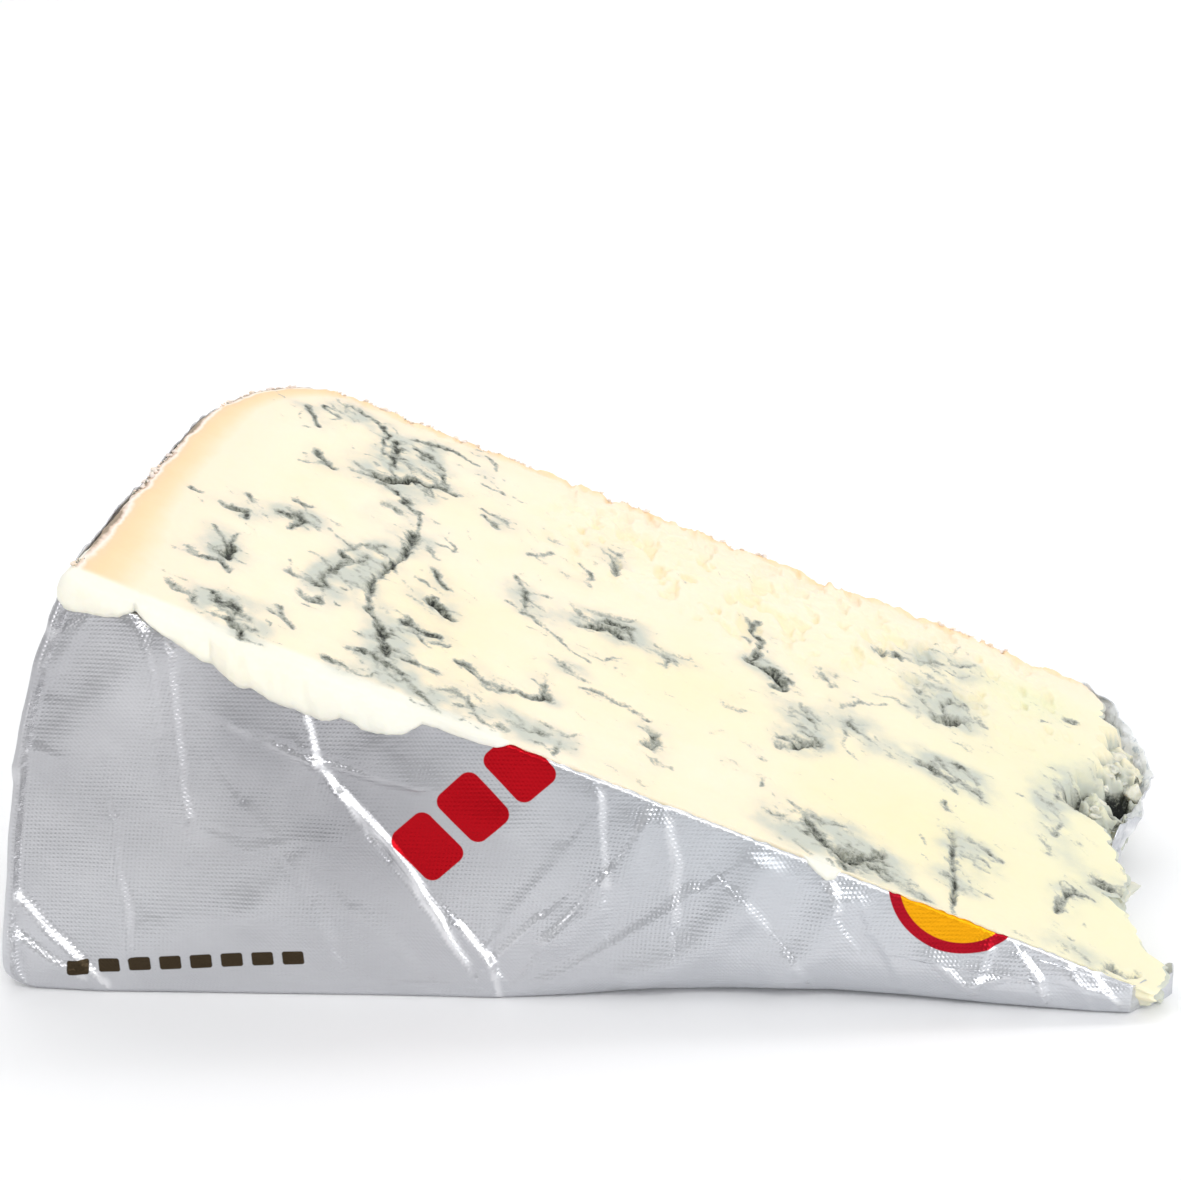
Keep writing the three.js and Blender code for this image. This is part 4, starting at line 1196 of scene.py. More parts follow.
# %% [markdown]
# A crease in pressed foil is uneven. One side is a narrow, steep facet that catches the light, and the
# other a long slope. A negative height in the table turns the two sides round.


# %% Shape of a crease
def crease_shape(x, z, height, width, points):
    """A crease's rise, and its facet from 0 to 1."""
    away = distance_to_path(x, z, points)
    (ax, az), (bx, bz) = points[0], points[-1]
    side = np.sign((bx - ax) * (z - az) - (bz - az) * (x - ax)) * math.copysign(1, height)
    steep = np.clip(1 - away / width, 0, 1)
    gentle = np.exp(-away / (3.2 * width))
    on_facet = step_between(1.25, 0.5, away / width) * (side > 0)
    return abs(height) * np.where(side > 0, steep, gentle), on_facet


# %% [markdown]
# The wall's points run once round the wedge: along the printed side to the tip, across behind it, back
# along the far side, and across the rind. Each row is such a round, from the torn upper edge down.

# %% Once round the wedge
FOIL_ROWS = 110
PRINTED_COLUMNS, FAR_COLUMNS = ((410, 160))
foil_y, foil_radius = depth_rows(0.65, FOIL_OUTSIDE)
along, far_along = np.linspace(0, 1, PRINTED_COLUMNS), np.linspace(1, 0, FAR_COLUMNS)
last = len(foil_y) - 1
wall_share = np.concatenate([along[:-1], np.ones(last), far_along[:-1], np.zeros(last)])
wall_row = np.concatenate([
    np.zeros(len(along) - 1), np.arange(last), np.full(len(far_along) - 1, last), np.arange(last, 0, -1),
]).astype(int)
wall_y, wall_radius = foil_y[wall_row], foil_radius[wall_row]
print("foil:", FOIL_ROWS, "rows of", len(wall_share), "points")

# %% [markdown]
# The upper edge was torn when the slice was cut. It lies a little under the cut plane, and lower where
# the smear hangs over it. Over a stretch of the tip it is almost down at the floor.


# %% The foil's upper edge
def rim_drop(x, y):
    """How far the foil's torn edge lies under the cut plane."""
    pressed = step_between(-95, -90, x) * (1 - step_between(1, 3, y))
    coarse, fine = rough_noise(x, y, 3.0, 73), noise(x, y, 0.7, 74) - 0.5
    torn = (0.25 + 0.5 * coarse) * (1 - 0.8 * pressed) + 0.3 * fine
    over_lip = step_between(-145, -141, x) * (1 - step_between(-96, -93, x)) * (1 - step_between(3, 8, y))
    far = step_between(60, 74, y) * (1 - step_between(-6, -3, x))
    flat_tip = step_between(-8, -4.5, x) * step_between(8, 12, y) * (1 - step_between(33, 39, y))
    to_flat = np.maximum(0, cut_height(x, y) - 0.6) * flat_tip
    bunched = step_between(-5, -1, x) * step_between(38, 50, y)
    return torn + 1.2 * over_lip + 0.9 * far + to_flat + 1.5 * bunched * (noise(x, y, 4, 75) - 0.45)


# %% Foil wall
blocks = []
for row in range(FOIL_ROWS):
    height_share = (1 - row / (FOIL_ROWS - 1)) ** 1.15
    tip_now = foil_tip(wall_y, height_share)
    x, z = wedge_point(wall_share, wall_y, wall_radius, height_share, tip_now, FOIL_OUTSIDE)
    z = z - height_share * rim_drop(x, wall_y)
    blocks.append(np.stack([x, wall_y, z], axis=-1))
wall = np.stack(blocks)
print("foil wall:", wall.shape[0] * wall.shape[1], "points")

# %% [markdown]
# ### Creasing the wall
#
# The wall is pushed out along its own normal. That takes the normal at every point, the distance round
# the wedge, and which side each point is on, because every side is treated in its own way.

# %% Directions and sides of the wall
def in_every_row(values):
    """The same round of values in every row of the wall."""
    return np.repeat(values[None, :], FOIL_ROWS, axis=0)


tangent = np.roll(wall, -1, axis=1) - np.roll(wall, 1, axis=1)
downward = np.gradient(wall, axis=0)
normal = np.cross(tangent, -downward)
normal /= np.linalg.norm(normal, axis=-1, keepdims=True) + 1e-12
run = np.linalg.norm(np.diff(wall[0], axis=0, append=wall[0][:1])[:, :2], axis=1)
around = np.concatenate([[0], np.cumsum(run)[:-1]])
around_grid = in_every_row(around)
x_wall, y_wall, z_wall = wall[..., 0], wall[..., 1], wall[..., 2] + FOIL_OUTSIDE
on_print, on_far = (in_every_row(wall_row == row).astype(float) for row in (0, last))
on_tip_wall, on_rind = (in_every_row(wall_share == share).astype(float) for share in (1, 0))
print("once round the foil:", round(float(run.sum())), "mm")

# %% [markdown]
# The creases and soft folds of the printed side come from the two tables. Their lines are bent a little
# by noise, and the painted highlight on a crease comes and goes along it.

# %% Crease the printed side
push, painted_highlight = np.zeros_like(x_wall), np.zeros_like(x_wall)
wobble = 0.7 * (noise(x_wall, z_wall, 4, 76) - 0.5)
patchily = 0.35 + 0.9 * noise(x_wall, z_wall, 2.4, 85)
for height, width, shine, points in creases:
    rise, facet = crease_shape(x_wall + wobble, z_wall, height, width, points)
    push += on_print * rise
    # Painted highlight on the steep facet of each crease, in patches.
    painted_highlight = np.maximum(painted_highlight, on_print * shine * facet * patchily)
for height, width, _, points in soft_folds:
    away = distance_to_path(x_wall + 2 * wobble, z_wall, points)
    push += on_print * height * np.exp(-((away / width) ** 2))
print("highest crease or fold:", round(float(push.max()), 2), "mm")

# %% [markdown]
# Foil can't stretch, so dents stay shallow on the big faces, while the loose foil at the tip is bunched
# much more, with a painted highlight along its pinched ridges.

# %% Dents all over, and the loose end
push += 0.55 * (rough_noise(around_grid, z_wall, 16, 77) - 0.5)
push += 0.65 * (crumple(around_grid, z_wall, 30, 78) - 0.5)
loose = on_tip_wall * step_between(30, 44, y_wall) + on_far * step_between(-30, -6, x_wall) * 0.6
loose = loose + on_print * step_between(-24, -8, x_wall) * 0.35
pinched = crumple(around_grid + 0.4 * z_wall, z_wall, 2.6, 86)
push += loose * 1.4 * (crumple(around_grid, z_wall, 6, 79) - 0.5)
push += 1.1 * on_tip_wall * loose * (pinched - 0.5)
loosest = on_tip_wall * np.clip(loose, 0, 1) + 0.5 * on_print * loose
# Painted highlight along the pinched ridges of the loose foil.
painted_highlight = np.maximum(painted_highlight, loosest * step_between(0.55, 0.85, pinched))
print("loose points:", int((loose > 0.5).sum()))

# %% [markdown]
# The far side and the rind side carry no print, and their creases can fall anywhere. They are drawn
# from the generator: straight, mostly steep, and with only a faint painted highlight. The sheet also ends
# there and laps over itself in two seams, and the crumple is stronger.

# %% Crease the other sides
UNSEEN_CREASES = 34
SEAMS = (262, 402)  # distance round the wedge
for start, lean, length in dice.uniform((235, 0.6, 5), (450, 2.5, 30), (UNSEEN_CREASES, 3)):
    foot = dice.uniform(0, 44)
    points = np.array([(start, foot), (start + length * math.cos(lean), foot + length * math.sin(lean))])
    height, width = dice.uniform(0.2, 0.6) * dice.choice((-1, 1)), dice.uniform(0.9, 1.6)
    rise, facet = crease_shape(around_grid + wobble, z_wall, height, width, points)
    push += (on_far + on_rind) * rise
    # A faint painted highlight on the steep facets.
    painted_highlight = np.maximum(painted_highlight, (on_far + on_rind) * 0.25 * facet * patchily)
for seam in SEAMS:
    push += (on_far + on_rind) * 0.3 * step_between(0, 0.5, around_grid - seam - 0.04 * z_wall + wobble)
push += on_far * 0.9 * (crumple(around_grid, z_wall * 0.6, 34, 83) - 0.5)
push += (on_far + on_rind) * 0.5 * (crumple(around_grid + 0.5 * z_wall, z_wall, 13, 87) - 0.5)
push += on_rind * 0.7 * np.exp(-(((z_wall - 4.5) / 6) ** 2)) * step_between(30, 8, y_wall)
print("push from", round(float(push.min()), 1), "to", round(float(push.max()), 1), "mm")

# %% [markdown]
# Along the printed side's edge the foil clings to the paste, so the push is weaker there, and at the
# floor it fades out. The edge itself was pressed over the cut by the knife. It bends inwards in a small
# curve, a narrow bevel with a painted highlight along it.

# %% Push the wall out and bend its rim
RIM_BEND = 0.9
under_rim = cut_height(x_wall, y_wall) + FOIL_OUTSIDE - z_wall
push *= 1 - 0.65 * on_print * step_between(3.5, 0.3, under_rim)
calm = step_between(0, 3.5, z_wall)
wall = wall + normal * (push * calm)[..., None]
wall[..., 1] += lower_edge_shift(x_wall, z_wall) * step_between(3.0, 0.5, y_wall)

bend_from = cut_height(x_wall, y_wall) + FOIL_OUTSIDE - RIM_BEND
bend = np.clip(z_wall - bend_from, 0, 0.98 * RIM_BEND) * on_print * (1 - step_between(-10, -4, x_wall))
wall[..., 1] += 0.6 * (RIM_BEND - np.sqrt(RIM_BEND**2 - bend**2))
# Painted highlight along the bent rim.
painted_highlight = np.clip(np.maximum(painted_highlight, patchily * step_between(0.25, 0.6, bend / RIM_BEND)), 0, 1)
print("rubbed bright:", round(100 * float((painted_highlight > 0.5).mean()), 1), "% of the points")

# %% [markdown]
# The wall becomes a mesh, and the distance round, the printed side and the painted highlight go along as
# attributes. The underside is one face over the lowest row. Solidify then lays the inner side inwards.

# %% Foil object
FOIL_THICKNESS = 0.00014  # metres, a few times that of real foil
ring = len(wall_share)
under = (FOIL_ROWS - 1) * ring + np.arange(ring)
foil = make_piece(
    "foil",
    wall.reshape(-1, 3),
    grid_faces(0, FOIL_ROWS, ring, wrap=True)[:, ::-1],
    rings=[under[::-1]],
    attributes={
        "around": around_grid.ravel(),
        "printed": on_print.ravel(),
        "painted_highlight": painted_highlight.ravel(),
    },
)
thickness = foil.modifiers.new("foil thickness", "SOLIDIFY")
thickness.thickness = FOIL_THICKNESS
thickness.offset = -1
thickness.material_offset = 1  # the inner side has a finish of its own
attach(foil, "root")
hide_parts("foil_wrap")

# %% [markdown]
# ## Materials
#
# Every finish is made of nodes. The helpers below only save typing: they add a node, a group or a
# material, and link it up.


# %% Node helpers
def add_node(tree, kind, **settings):
    """A new node of a kind. A setting is one of the node's own, or the value of the input of that name."""
    node = tree.nodes.new(kind)
    for key, value in settings.items():
        if hasattr(node, key):
            setattr(node, key, value)
        else:
            node.inputs[key.replace("_", " ")].default_value = value
    return node


def math_node(tree, operation, first, second=None, third=None):
    """A Math node. Each operand is a socket or a number."""
    node = tree.nodes.new("ShaderNodeMath")
    node.operation = operation
    for i, operand in enumerate((first, second, third)):
        if operand is None:
            continue
        if isinstance(operand, (int, float)):
            node.inputs[i].default_value = operand
        else:
            tree.links.new(operand, node.inputs[i])
    return node.outputs[0]


def new_group(name, inputs, outputs):
    """An empty node group with named inputs (name, type, default) and outputs (name, type)."""
    group = bpy.data.node_groups.new(name, "ShaderNodeTree")
    for label, kind, default in inputs:
        socket = group.interface.new_socket(label, in_out="INPUT", socket_type=kind)
        if default is not None:
            socket.default_value = default
    for label, kind in outputs:
        group.interface.new_socket(label, in_out="OUTPUT", socket_type=kind)
    return group, group.nodes.new("NodeGroupInput"), group.nodes.new("NodeGroupOutput")


def use_group(tree, group, **values):
    """A group placed in a tree, with values for its inputs."""
    node = tree.nodes.new("ShaderNodeGroup")
    node.node_tree = group
    for key, value in values.items():
        node.inputs[key.replace("_", " ")].default_value = value
    return node


# %% [markdown]
# A few effects serve more than one material, so they are node groups with named inputs. The first is a
# patchy value that drifts between two ends over a given distance. It keeps a surface from looking dead.

# %% Patchy value group
patchy, start, end = new_group(
    "Patchy value",
    [("Size mm", "NodeSocketFloat", 5.0), ("Low", "NodeSocketFloat", 0.0), ("High", "NodeSocketFloat", 1.0)],
    [("Value", "NodeSocketFloat")],
)
where = add_node(patchy, "ShaderNodeTexCoord")
scale = math_node(patchy, "DIVIDE", 1000.0, start.outputs["Size mm"])
cloudy = add_node(patchy, "ShaderNodeTexNoise", Detail=3.0, Roughness=0.55)
patchy.links.new(where.outputs["Object"], cloudy.inputs["Vector"])
patchy.links.new(scale, cloudy.inputs["Scale"])
spread = add_node(patchy, "ShaderNodeMapRange", From_Min=0.3, From_Max=0.7)
patchy.links.new(cloudy.outputs["Fac"], spread.inputs["Value"])
patchy.links.new(start.outputs["Low"], spread.inputs["To Min"])
patchy.links.new(start.outputs["High"], spread.inputs["To Max"])
patchy.links.new(spread.outputs["Result"], end.inputs["Value"])
print("group:", patchy.name, len(patchy.nodes), "nodes")

# %% [markdown]
# The second is a fine unevenness that feeds the normal. It can be stretched along X, as the marks of a
# blade are, and it builds on a normal that is given to it.

# %% Fine unevenness group
uneven, start, end = new_group(
    "Fine unevenness",
    [
        ("Size mm", "NodeSocketFloat", 1.0),
        ("Height mm", "NodeSocketFloat", 0.05),
        ("Stretch", "NodeSocketFloat", 1.0),
        ("Normal", "NodeSocketVector", None),
    ],
    [("Normal", "NodeSocketVector")],
)
where = add_node(uneven, "ShaderNodeTexCoord")
stretch = add_node(uneven, "ShaderNodeCombineXYZ", Y=1.0, Z=1.0)
uneven.links.new(math_node(uneven, "DIVIDE", 1.0, start.outputs["Stretch"]), stretch.inputs["X"])
pulled = add_node(uneven, "ShaderNodeVectorMath", operation="MULTIPLY")
uneven.links.new(where.outputs["Object"], pulled.inputs[0])
uneven.links.new(stretch.outputs["Vector"], pulled.inputs[1])
grain = add_node(uneven, "ShaderNodeTexNoise", Detail=4.0, Roughness=0.6)
uneven.links.new(pulled.outputs["Vector"], grain.inputs["Vector"])
uneven.links.new(math_node(uneven, "DIVIDE", 1000.0, start.outputs["Size mm"]), grain.inputs["Scale"])
relief = add_node(uneven, "ShaderNodeBump", Strength=1.0)
uneven.links.new(math_node(uneven, "MULTIPLY", start.outputs["Height mm"], 0.001), relief.inputs["Distance"])
uneven.links.new(grain.outputs["Fac"], relief.inputs["Height"])
uneven.links.new(start.outputs["Normal"], relief.inputs["Normal"])
uneven.links.new(relief.outputs["Normal"], end.inputs["Normal"])
print("group:", uneven.name, len(uneven.nodes), "nodes")

# %% [markdown]
# Every material starts from one shader and mixes colours into it. Colours are written as they are seen
# on a screen, because those numbers are easy to compare, and turned into what a shader needs.


# %% Colour helpers
def linear(red, green, blue):
    """A colour picked on a screen (0 to 255) as the linear colour that shaders use."""
    return tuple(((value / 255) ** 2.2) for value in (red, green, blue)) + (1.0,)


def blend(tree, share, first, second):
    """Mix two colours, each a socket or a colour, by a share that is a socket or a number."""
    node = tree.nodes.new("ShaderNodeMix")
    node.data_type = "RGBA"
    for socket, value in ((node.inputs["Factor"], share), (node.inputs[6], first), (node.inputs[7], second)):
        if isinstance(value, (int, float, tuple)):
            socket.default_value = value
        else:
            tree.links.new(value, socket)
    return node.outputs[2]


def new_material(name):
    """A material with a cleared tree, its Principled shader and its output."""
    material = bpy.data.materials.new(name)
    material.use_nodes = True
    tree = material.node_tree
    tree.nodes.clear()
    shader = tree.nodes.new("ShaderNodeBsdfPrincipled")
    output = tree.nodes.new("ShaderNodeOutputMaterial")
    tree.links.new(shader.outputs["BSDF"], output.inputs["Surface"])
    return material, tree, shader


def read_attribute(tree, name):
    """A value that was kept for every point of the mesh."""
    node = tree.nodes.new("ShaderNodeAttribute")
    node.attribute_name = name
    return node.outputs["Fac"]


def between(tree, value, low, high, to_low=0.0, to_high=1.0):
    """Spread a value from low..high to another range, clamped."""
    node = tree.nodes.new("ShaderNodeMapRange")
    node.interpolation_type = "SMOOTHSTEP"
    tree.links.new(value, node.inputs["Value"])
    for label, number in (("From Min", low), ("From Max", high), ("To Min", to_low), ("To Max", to_high)):
        node.inputs[label].default_value = number
    return node.outputs["Result"]


# %% [markdown]
# ### Paste
#
# The paste is cream, a little yellower in patches, and peach towards the rind. The ramp goes from the
# rind inwards: dark skin, a pale line, the peach band, and back to cream. Smeared paste is whiter,
# because the knife has worked air into it.

# %% Colours of the paste
paste_material, tree, shader = new_material("cheese paste")
patch = use_group(tree, patchy, Size_mm=16.0, Low=0.0, High=1.0)
creamy = blend(tree, patch.outputs["Value"], linear(249, 234, 209), linear(248, 231, 199))
# Yellower in riper patches, and in the torn crust's pits as painted shade.
creamy = blend(tree, read_attribute(tree, "ripe_and_pit_shade"), creamy, linear(247, 230, 186))
creamy = blend(tree, read_attribute(tree, "green"), creamy, linear(233, 231, 194))

rind_share = read_attribute(tree, "rind")
ripples = use_group(tree, patchy, Size_mm=4.0, Low=-0.012, High=0.012)
rind_wobbly = math_node(tree, "ADD", rind_share, ripples.outputs["Value"])
ramp = tree.nodes.new("ShaderNodeValToRGB")
ramp.color_ramp.elements[0].position = 0.0
ramp.color_ramp.elements[0].color = linear(150, 132, 112)
ramp.color_ramp.elements[1].position = 0.6
ramp.color_ramp.elements[1].color = linear(247, 234, 207)
for position, colour in (
    (0.006, (224, 198, 176)),
    (0.017, (252, 238, 226)),
    (0.034, (241, 206, 164)),
    (0.070, (247, 210, 164)),
    (0.120, (247, 215, 173)),
    (0.210, (249, 229, 202)),
):
    ramp.color_ramp.elements.new(position).color = linear(*colour)
tree.links.new(rind_wobbly, ramp.inputs["Fac"])
ground = blend(tree, between(tree, rind_share, 0.35, 0.75), ramp.outputs["Color"], creamy)
smear_colour = blend(tree, patch.outputs["Value"], linear(243, 241, 228), linear(246, 239, 219))
ground = blend(tree, between(tree, read_attribute(tree, "smear"), 0.1, 0.7), ground, smear_colour)
print("paste colours:", len(tree.nodes), "nodes")

# %% [markdown]
# Mould is laid on from the point attributes, in steps from a pale stain to nearly black in the clefts.
# The last, nearly black step grows with the cleft's depth: dark mould, and painted shade in the depth.
# The attributes are only as sharp as the mesh, so a fine noise thins and thickens them before each step
# cuts them off at a level. That gives mould its torn, grainy outline.

# %% Mould on the paste
fine = add_node(tree, "ShaderNodeTexNoise", Scale=1900.0, Detail=4.0, Roughness=0.7)
where = add_node(tree, "ShaderNodeTexCoord")
tree.links.new(where.outputs["Object"], fine.inputs["Vector"])
grainy = math_node(tree, "SUBTRACT", fine.outputs["Fac"], 0.5)
fleck = math_node(tree, "MULTIPLY", grainy, 0.35)

stain_share = math_node(tree, "ADD", read_attribute(tree, "stain"), math_node(tree, "MULTIPLY", fleck, 0.5))
stained = blend(tree, between(tree, stain_share, 0.02, 0.75, 0.0, 0.9), ground, linear(190, 195, 185))
thick_mould = math_node(tree, "MULTIPLY_ADD", grainy, 2.0, 1.08)
mould_share = math_node(tree, "MULTIPLY_ADD", read_attribute(tree, "mould"), thick_mould, fleck)
streaked = blend(tree, between(tree, mould_share, 0.10, 0.42), stained, linear(172, 174, 163))
streaked = blend(tree, between(tree, mould_share, 0.34, 0.72), streaked, linear(120, 123, 112))
streaked = blend(tree, between(tree, mould_share, 0.64, 1.0), streaked, linear(52, 55, 48))
# Painted shade with the mould: nearly black where a cleft or pit is deep.
deep_mould_and_shade = math_node(tree, "MULTIPLY", read_attribute(tree, "cleft"), mould_share)
streaked = blend(tree, between(tree, deep_mould_and_shade, 0.3, 0.85), streaked, linear(26, 30, 26))
tree.links.new(streaked, shader.inputs["Base Color"])
print("with mould:", len(tree.nodes), "nodes")

# %% [markdown]
# Fat makes the paste shine in patches, and a blade leaves it finely uneven. Cheese lets some light in,
# red light deepest, which subsurface scattering gives.

# %% Shine and skin of the paste
roughness = use_group(tree, patchy, Size_mm=2.5, Low=0.38, High=0.55)
tree.links.new(roughness.outputs["Value"], shader.inputs["Roughness"])
skin = use_group(tree, uneven, Size_mm=1.6, Height_mm=0.12, Stretch=2.0)
tree.links.new(skin.outputs["Normal"], shader.inputs["Normal"])
shader.inputs["Subsurface Weight"].default_value = 0.25
shader.inputs["Subsurface Radius"].default_value = (1.0, 0.8, 0.5)
shader.inputs["Subsurface Scale"].default_value = 0.0025
shader.inputs["Specular IOR Level"].default_value = 0.4
paste.data.materials.append(paste_material)
lumps.data.materials.append(paste_material)
crumbs.data.materials.append(paste_material)
print("paste material:", len(tree.nodes), "nodes")

# %% [markdown]
# ### Foil
#
# The foil is aluminium with a fine emboss and a print. The print is plain fields of ink, placed by
# millimetres on the printed side. All of them are one shape: a block with rounded corners, which is a
# disc when the corner is as large as the block. So one group draws them all.

# %% Printed block group
block_group, start, end = new_group(
    "Printed block",
    [
        ("X", "NodeSocketFloat", 0.0),
        ("Z", "NodeSocketFloat", 0.0),
        ("Centre X", "NodeSocketFloat", 0.0),
        ("Centre Z", "NodeSocketFloat", 0.0),
        ("Turn", "NodeSocketFloat", 0.0),
        ("Half length", "NodeSocketFloat", 3.0),
        ("Half height", "NodeSocketFloat", 3.0),
        ("Corner", "NodeSocketFloat", 1.0),
    ],
    [("Mask", "NodeSocketFloat")],
)
dx = math_node(block_group, "SUBTRACT", start.outputs["X"], start.outputs["Centre X"])
dz = math_node(block_group, "SUBTRACT", start.outputs["Z"], start.outputs["Centre Z"])
cosine = math_node(block_group, "COSINE", start.outputs["Turn"])
sine = math_node(block_group, "SINE", start.outputs["Turn"])
products = [math_node(block_group, "MULTIPLY", *pair) for pair in ((dx, cosine), (dz, sine))]
lengthwise = math_node(block_group, "ADD", *products)
products = [math_node(block_group, "MULTIPLY", *pair) for pair in ((dz, cosine), (dx, sine))]
upwards = math_node(block_group, "SUBTRACT", *products)
squares = []
for coordinate, half in ((lengthwise, "Half length"), (upwards, "Half height")):
    inner = math_node(block_group, "SUBTRACT", start.outputs[half], start.outputs["Corner"])
    past = math_node(block_group, "SUBTRACT", math_node(block_group, "ABSOLUTE", coordinate), inner)
    squares.append(math_node(block_group, "POWER", math_node(block_group, "MAXIMUM", past, 0.0), 2.0))
distance = math_node(block_group, "SQRT", math_node(block_group, "ADD", *squares))
outside = math_node(block_group, "SUBTRACT", distance, start.outputs["Corner"])
INK_EDGE = 0.08  # mm, over which ink fades out at each side of its outline
mask = between(block_group, outside, INK_EDGE, -INK_EDGE)
block_group.links.new(mask, end.inputs["Mask"])
print("group:", block_group.name, len(block_group.nodes), "nodes")

# %% [markdown]
# The emboss is close ribs crossed by rows of dots, about half a millimetre apart. At that size it belongs
# in the normal and not in the mesh. It is weaker where the foil has been handled, and under the painted
# highlight.

# %% Emboss of the foil
RIB_PITCH, DOT_PITCH = 0.56, 0.50  # mm
foil_material, tree, shader = new_material("embossed foil")
where = add_node(tree, "ShaderNodeTexCoord")
split = add_node(tree, "ShaderNodeSeparateXYZ")
tree.links.new(where.outputs["Object"], split.inputs["Vector"])
x_mm = math_node(tree, "SUBTRACT", math_node(tree, "MULTIPLY", split.outputs["X"], 1000.0), float(SHIFT[0]))
z_mm = math_node(tree, "MULTIPLY", split.outputs["Z"], 1000.0)
around_mm = read_attribute(tree, "around")

rib_phase = math_node(tree, "MULTIPLY", z_mm, 2 * math.pi / RIB_PITCH)
dot_phase = math_node(tree, "MULTIPLY", around_mm, 2 * math.pi / DOT_PITCH)
ribs = math_node(tree, "SINE", rib_phase)
dots = math_node(tree, "MULTIPLY", math_node(tree, "SINE", dot_phase), ribs)
rib_height = math_node(tree, "MULTIPLY", ribs, 0.55)
dot_height = math_node(tree, "MULTIPLY", dots, 0.7)
emboss = math_node(tree, "ADD", rib_height, dot_height)
wear = use_group(tree, patchy, Size_mm=14.0, Low=0.45, High=1.0)
emboss = math_node(tree, "MULTIPLY", emboss, wear.outputs["Value"])
# The emboss is weaker under the painted highlight.
flatter_under_highlight = between(tree, read_attribute(tree, "painted_highlight"), 0.0, 1.0, 1.0, 0.35)
emboss = math_node(tree, "MULTIPLY", emboss, flatter_under_highlight)
pressed = add_node(tree, "ShaderNodeBump", Strength=0.55, Distance=0.00005)
tree.links.new(emboss, pressed.inputs["Height"])
handled = use_group(tree, uneven, Size_mm=12.0, Height_mm=0.40, Stretch=1.0)
tree.links.new(pressed.outputs["Normal"], handled.inputs["Normal"])
tree.links.new(handled.outputs["Normal"], shader.inputs["Normal"])
print("emboss:", len(tree.nodes), "nodes")

# %% [markdown]
# Bare metal takes its tone from what it mirrors, and the tent of light is even. So a painted reflection
# is laid on as a drift of tone: darker towards the rind, paler towards the tip and the foot, and lightest
# under the painted highlight.

# %% Tone of the metal, with painted reflection and highlight
# Painted reflection: random darker patches, and paler towards the tip and the foot.
tone = use_group(tree, patchy, Size_mm=22.0, Low=0.0, High=1.0)
metal = blend(tree, tone.outputs["Value"], linear(198, 198, 201), linear(172, 172, 176))
metal = blend(tree, between(tree, x_mm, -105.0, -40.0, 0.0, 0.75), metal, linear(208, 213, 219))
metal = blend(tree, between(tree, z_mm, 26.0, 5.0, 0.0, 0.65), metal, linear(211, 212, 216))
# Painted highlight, nearly white.
metal = blend(tree, read_attribute(tree, "painted_highlight"), metal, linear(240, 240, 242))
print("metal:", len(tree.nodes), "nodes")

# %% [markdown]
# The print is three red blocks that run up the side, a row of dark dashes near the foot, and a yellow
# disc with a red ring. The cut took off most of the disc. Ink dulls the metal a little.


# %% Print on the foil
def printed_block(centre_x, centre_z, turned, half_length, half_height, corner):
    """The mask of one field of ink, in millimetres and degrees."""
    node = use_group(
        tree,
        block_group,
        Centre_X=centre_x,
        Centre_Z=centre_z,
        Turn=math.radians(turned),
        Half_length=half_length,
        Half_height=half_height,
        Corner=corner,
    )
    tree.links.new(x_mm, node.inputs["X"])
    tree.links.new(z_mm, node.inputs["Z"])
    return node.outputs["Mask"]


def any_of(masks):
    """Several masks as one."""
    joined = masks[0]
    for mask in masks[1:]:
        joined = math_node(tree, "MAXIMUM", joined, mask)
    return joined


on_face = between(tree, read_attribute(tree, "printed"), 0.5, 0.9)
red_blocks = any_of([
    printed_block(x, z, 42, 3.3, 4.2, 1.5) for x, z in ((-94.3, 21.4), (-88.2, 26.9), (-82.1, 32.4))
])
dashes = any_of([
    printed_block(-141.2 + 4.1 * i, 3.9 + 0.24 * i, 3.4, 1.45, 0.95, 0.35) for i in range(8)
])
disc, disc_inside = (printed_block(-25.8, 17.9, 0, radius, radius, radius) for radius in (9.4, 8.0))
colour = blend(tree, math_node(tree, "MULTIPLY", red_blocks, on_face), metal, linear(178, 6, 26))
colour = blend(tree, math_node(tree, "MULTIPLY", dashes, on_face), colour, linear(66, 56, 42))
colour = blend(tree, math_node(tree, "MULTIPLY", disc, on_face), colour, linear(176, 20, 40))
colour = blend(tree, math_node(tree, "MULTIPLY", disc_inside, on_face), colour, linear(246, 170, 16))
tree.links.new(colour, shader.inputs["Base Color"])
inked = math_node(tree, "MULTIPLY", any_of([red_blocks, dashes, disc]), on_face)
tree.links.new(between(tree, inked, 0.0, 1.0, 1.0, 0.85), shader.inputs["Metallic"])
gloss = use_group(tree, patchy, Size_mm=6.0, Low=0.30, High=0.42)
tree.links.new(gloss.outputs["Value"], shader.inputs["Roughness"])
foil.data.materials.append(foil_material)
print("foil material:", len(tree.nodes), "nodes")

# %% [markdown]
# The inner side shows only where the foil stands away from the cheese at the tip, bunched and full of
# small dents. Each dent mirrors something else there, so the whole looks pale and broken up. That is
# painted here as a reflection: a surface that is hardly metallic, with pale and paler patches, shows that
# more evenly than a mirror would.

# %% Inner side of the foil
inner_material, tree, shader = new_material("foil inside")
dents = use_group(tree, uneven, Size_mm=2.0, Height_mm=0.5, Stretch=1.0)
tree.links.new(dents.outputs["Normal"], shader.inputs["Normal"])
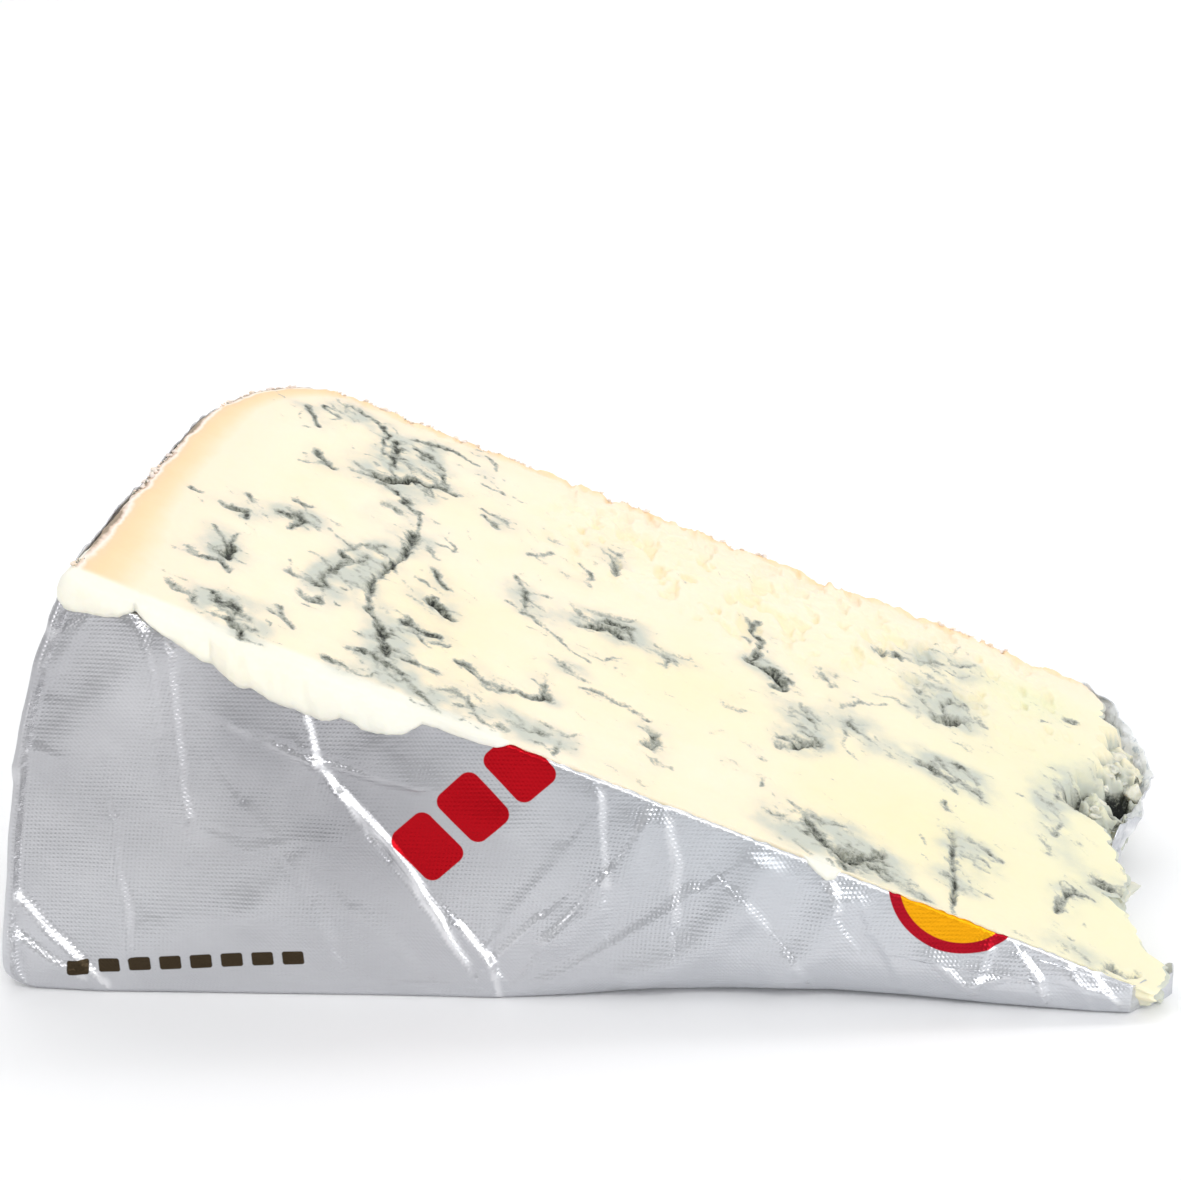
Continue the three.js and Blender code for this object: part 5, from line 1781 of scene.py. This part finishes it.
# Painted reflection: pale and paler patches for what the dents mirror.
reflection_patches = use_group(tree, patchy, Size_mm=1.6, Low=0.0, High=1.0)
reflection_share = between(tree, reflection_patches.outputs["Value"], 0.0, 0.35)
painted_reflection = blend(tree, reflection_share, linear(196, 206, 216), linear(251, 253, 255))
tree.links.new(painted_reflection, shader.inputs["Base Color"])
shader.inputs["Metallic"].default_value = 0.05
shader.inputs["Roughness"].default_value = 0.35
foil.data.materials.append(inner_material)
print("inner side:", len(tree.nodes), "nodes")

# %% [markdown]
# ## Floor and light
#
# The wedge is shown in a bright tent of light. The tent is a pale floor that runs up into a pale
# backdrop, wide enough to fill the view from the front.

# %% Floor
floor_mesh = bpy.data.meshes.new("floor")
sweep = [(-1.6, 0.0), (0.9, 0.0), (1.15, 0.04), (1.32, 0.16), (1.4, 0.38), (1.42, 1.8)]
points = [(side, y, z) for y, z in sweep for side in (-2.2, 2.2)]
strips = [(2 * i, 2 * i + 1, 2 * i + 3, 2 * i + 2) for i in range(len(sweep) - 1)]
floor_mesh.from_pydata(points, [], strips)
floor = bpy.data.objects.new("floor", floor_mesh)
bpy.context.scene.collection.objects.link(floor)
floor_material, tree, shader = new_material("pale floor")
tone = use_group(tree, patchy, Size_mm=400.0, Low=0.0, High=1.0)
pale = blend(tree, tone.outputs["Value"], (0.97, 0.97, 0.97, 1), (0.96, 0.96, 0.965, 1))
tree.links.new(pale, shader.inputs["Base Color"])
shader.inputs["Roughness"].default_value = 0.9
shader.inputs["Specular IOR Level"].default_value = 0.1
floor_mesh.materials.append(floor_material)
print("floor:", len(strips), "strips")

# %% [markdown]
# There are five soft lights: a weak one overhead, one high in front that lights the cut face, a wide one
# that whitens the backdrop, a small one on the left, and a large low one on the right. The creases
# mirror the right one, which draws the bright lines along them.


# %% Lights
def soft_light(name, at, look_at, size, power, colour=(1, 1, 1)):
    """A large area light that shines from one place towards another."""
    data = bpy.data.lights.new(name, "AREA")
    data.shape, data.size, data.size_y = "RECTANGLE", size[0], size[1]
    data.energy, data.color = power, colour
    light = bpy.data.objects.new(name, data)
    direction = Vector(look_at) - Vector(at)
    light.rotation_euler = direction.to_track_quat("-Z", "Y").to_euler()
    light.location = at
    bpy.context.scene.collection.objects.link(light)


soft_light("overhead light", (0.05, 0.45, 1.0), (0, 0, 0), (0.9, 0.6), 1.8)
soft_light("front light", (0.15, -1.05, 0.95), (0, 0, 0.02), (0.6, 0.25), 4.4)
soft_light("backdrop light", (0, 0.55, 1.3), (0, 1.35, 0.25), (2.4, 0.4), 8.0)
soft_light("left light", (-0.95, -0.35, 0.5), (0, 0, 0.03), (0.3, 0.6), 2.1, (1.0, 0.99, 0.98))
soft_light("right light", (0.9, -0.65, 0.35), (0, 0, 0.03), (0.8, 0.55), 4.6)
print("lights:", len(bpy.data.lights))

# %% [markdown]
# The tent's own walls give light from everywhere, except low in front, where a viewer and a dark room
# would be. That darker part is what the printed side mirrors, so the foil reads as metal.

# %% Light of the tent
world = bpy.data.worlds.new("tent")
world.use_nodes = True
tree = world.node_tree
sky = tree.nodes["Background"]
where = add_node(tree, "ShaderNodeTexCoord")
split = add_node(tree, "ShaderNodeSeparateXYZ")
tree.links.new(where.outputs["Generated"], split.inputs["Vector"])
sky.inputs["Color"].default_value = (0.975, 0.985, 1.0, 1)
low_down = between(tree, split.outputs["Z"], 0.35, 0.02)
in_front = between(tree, split.outputs["Y"], -0.5, -0.9)
dimmed = math_node(tree, "MULTIPLY", low_down, in_front)
tree.links.new(between(tree, dimmed, 0.0, 1.0, 0.54, 0.26), sky.inputs["Strength"])
bpy.context.scene.world = world
bpy.context.scene.view_settings.view_transform = "Standard"
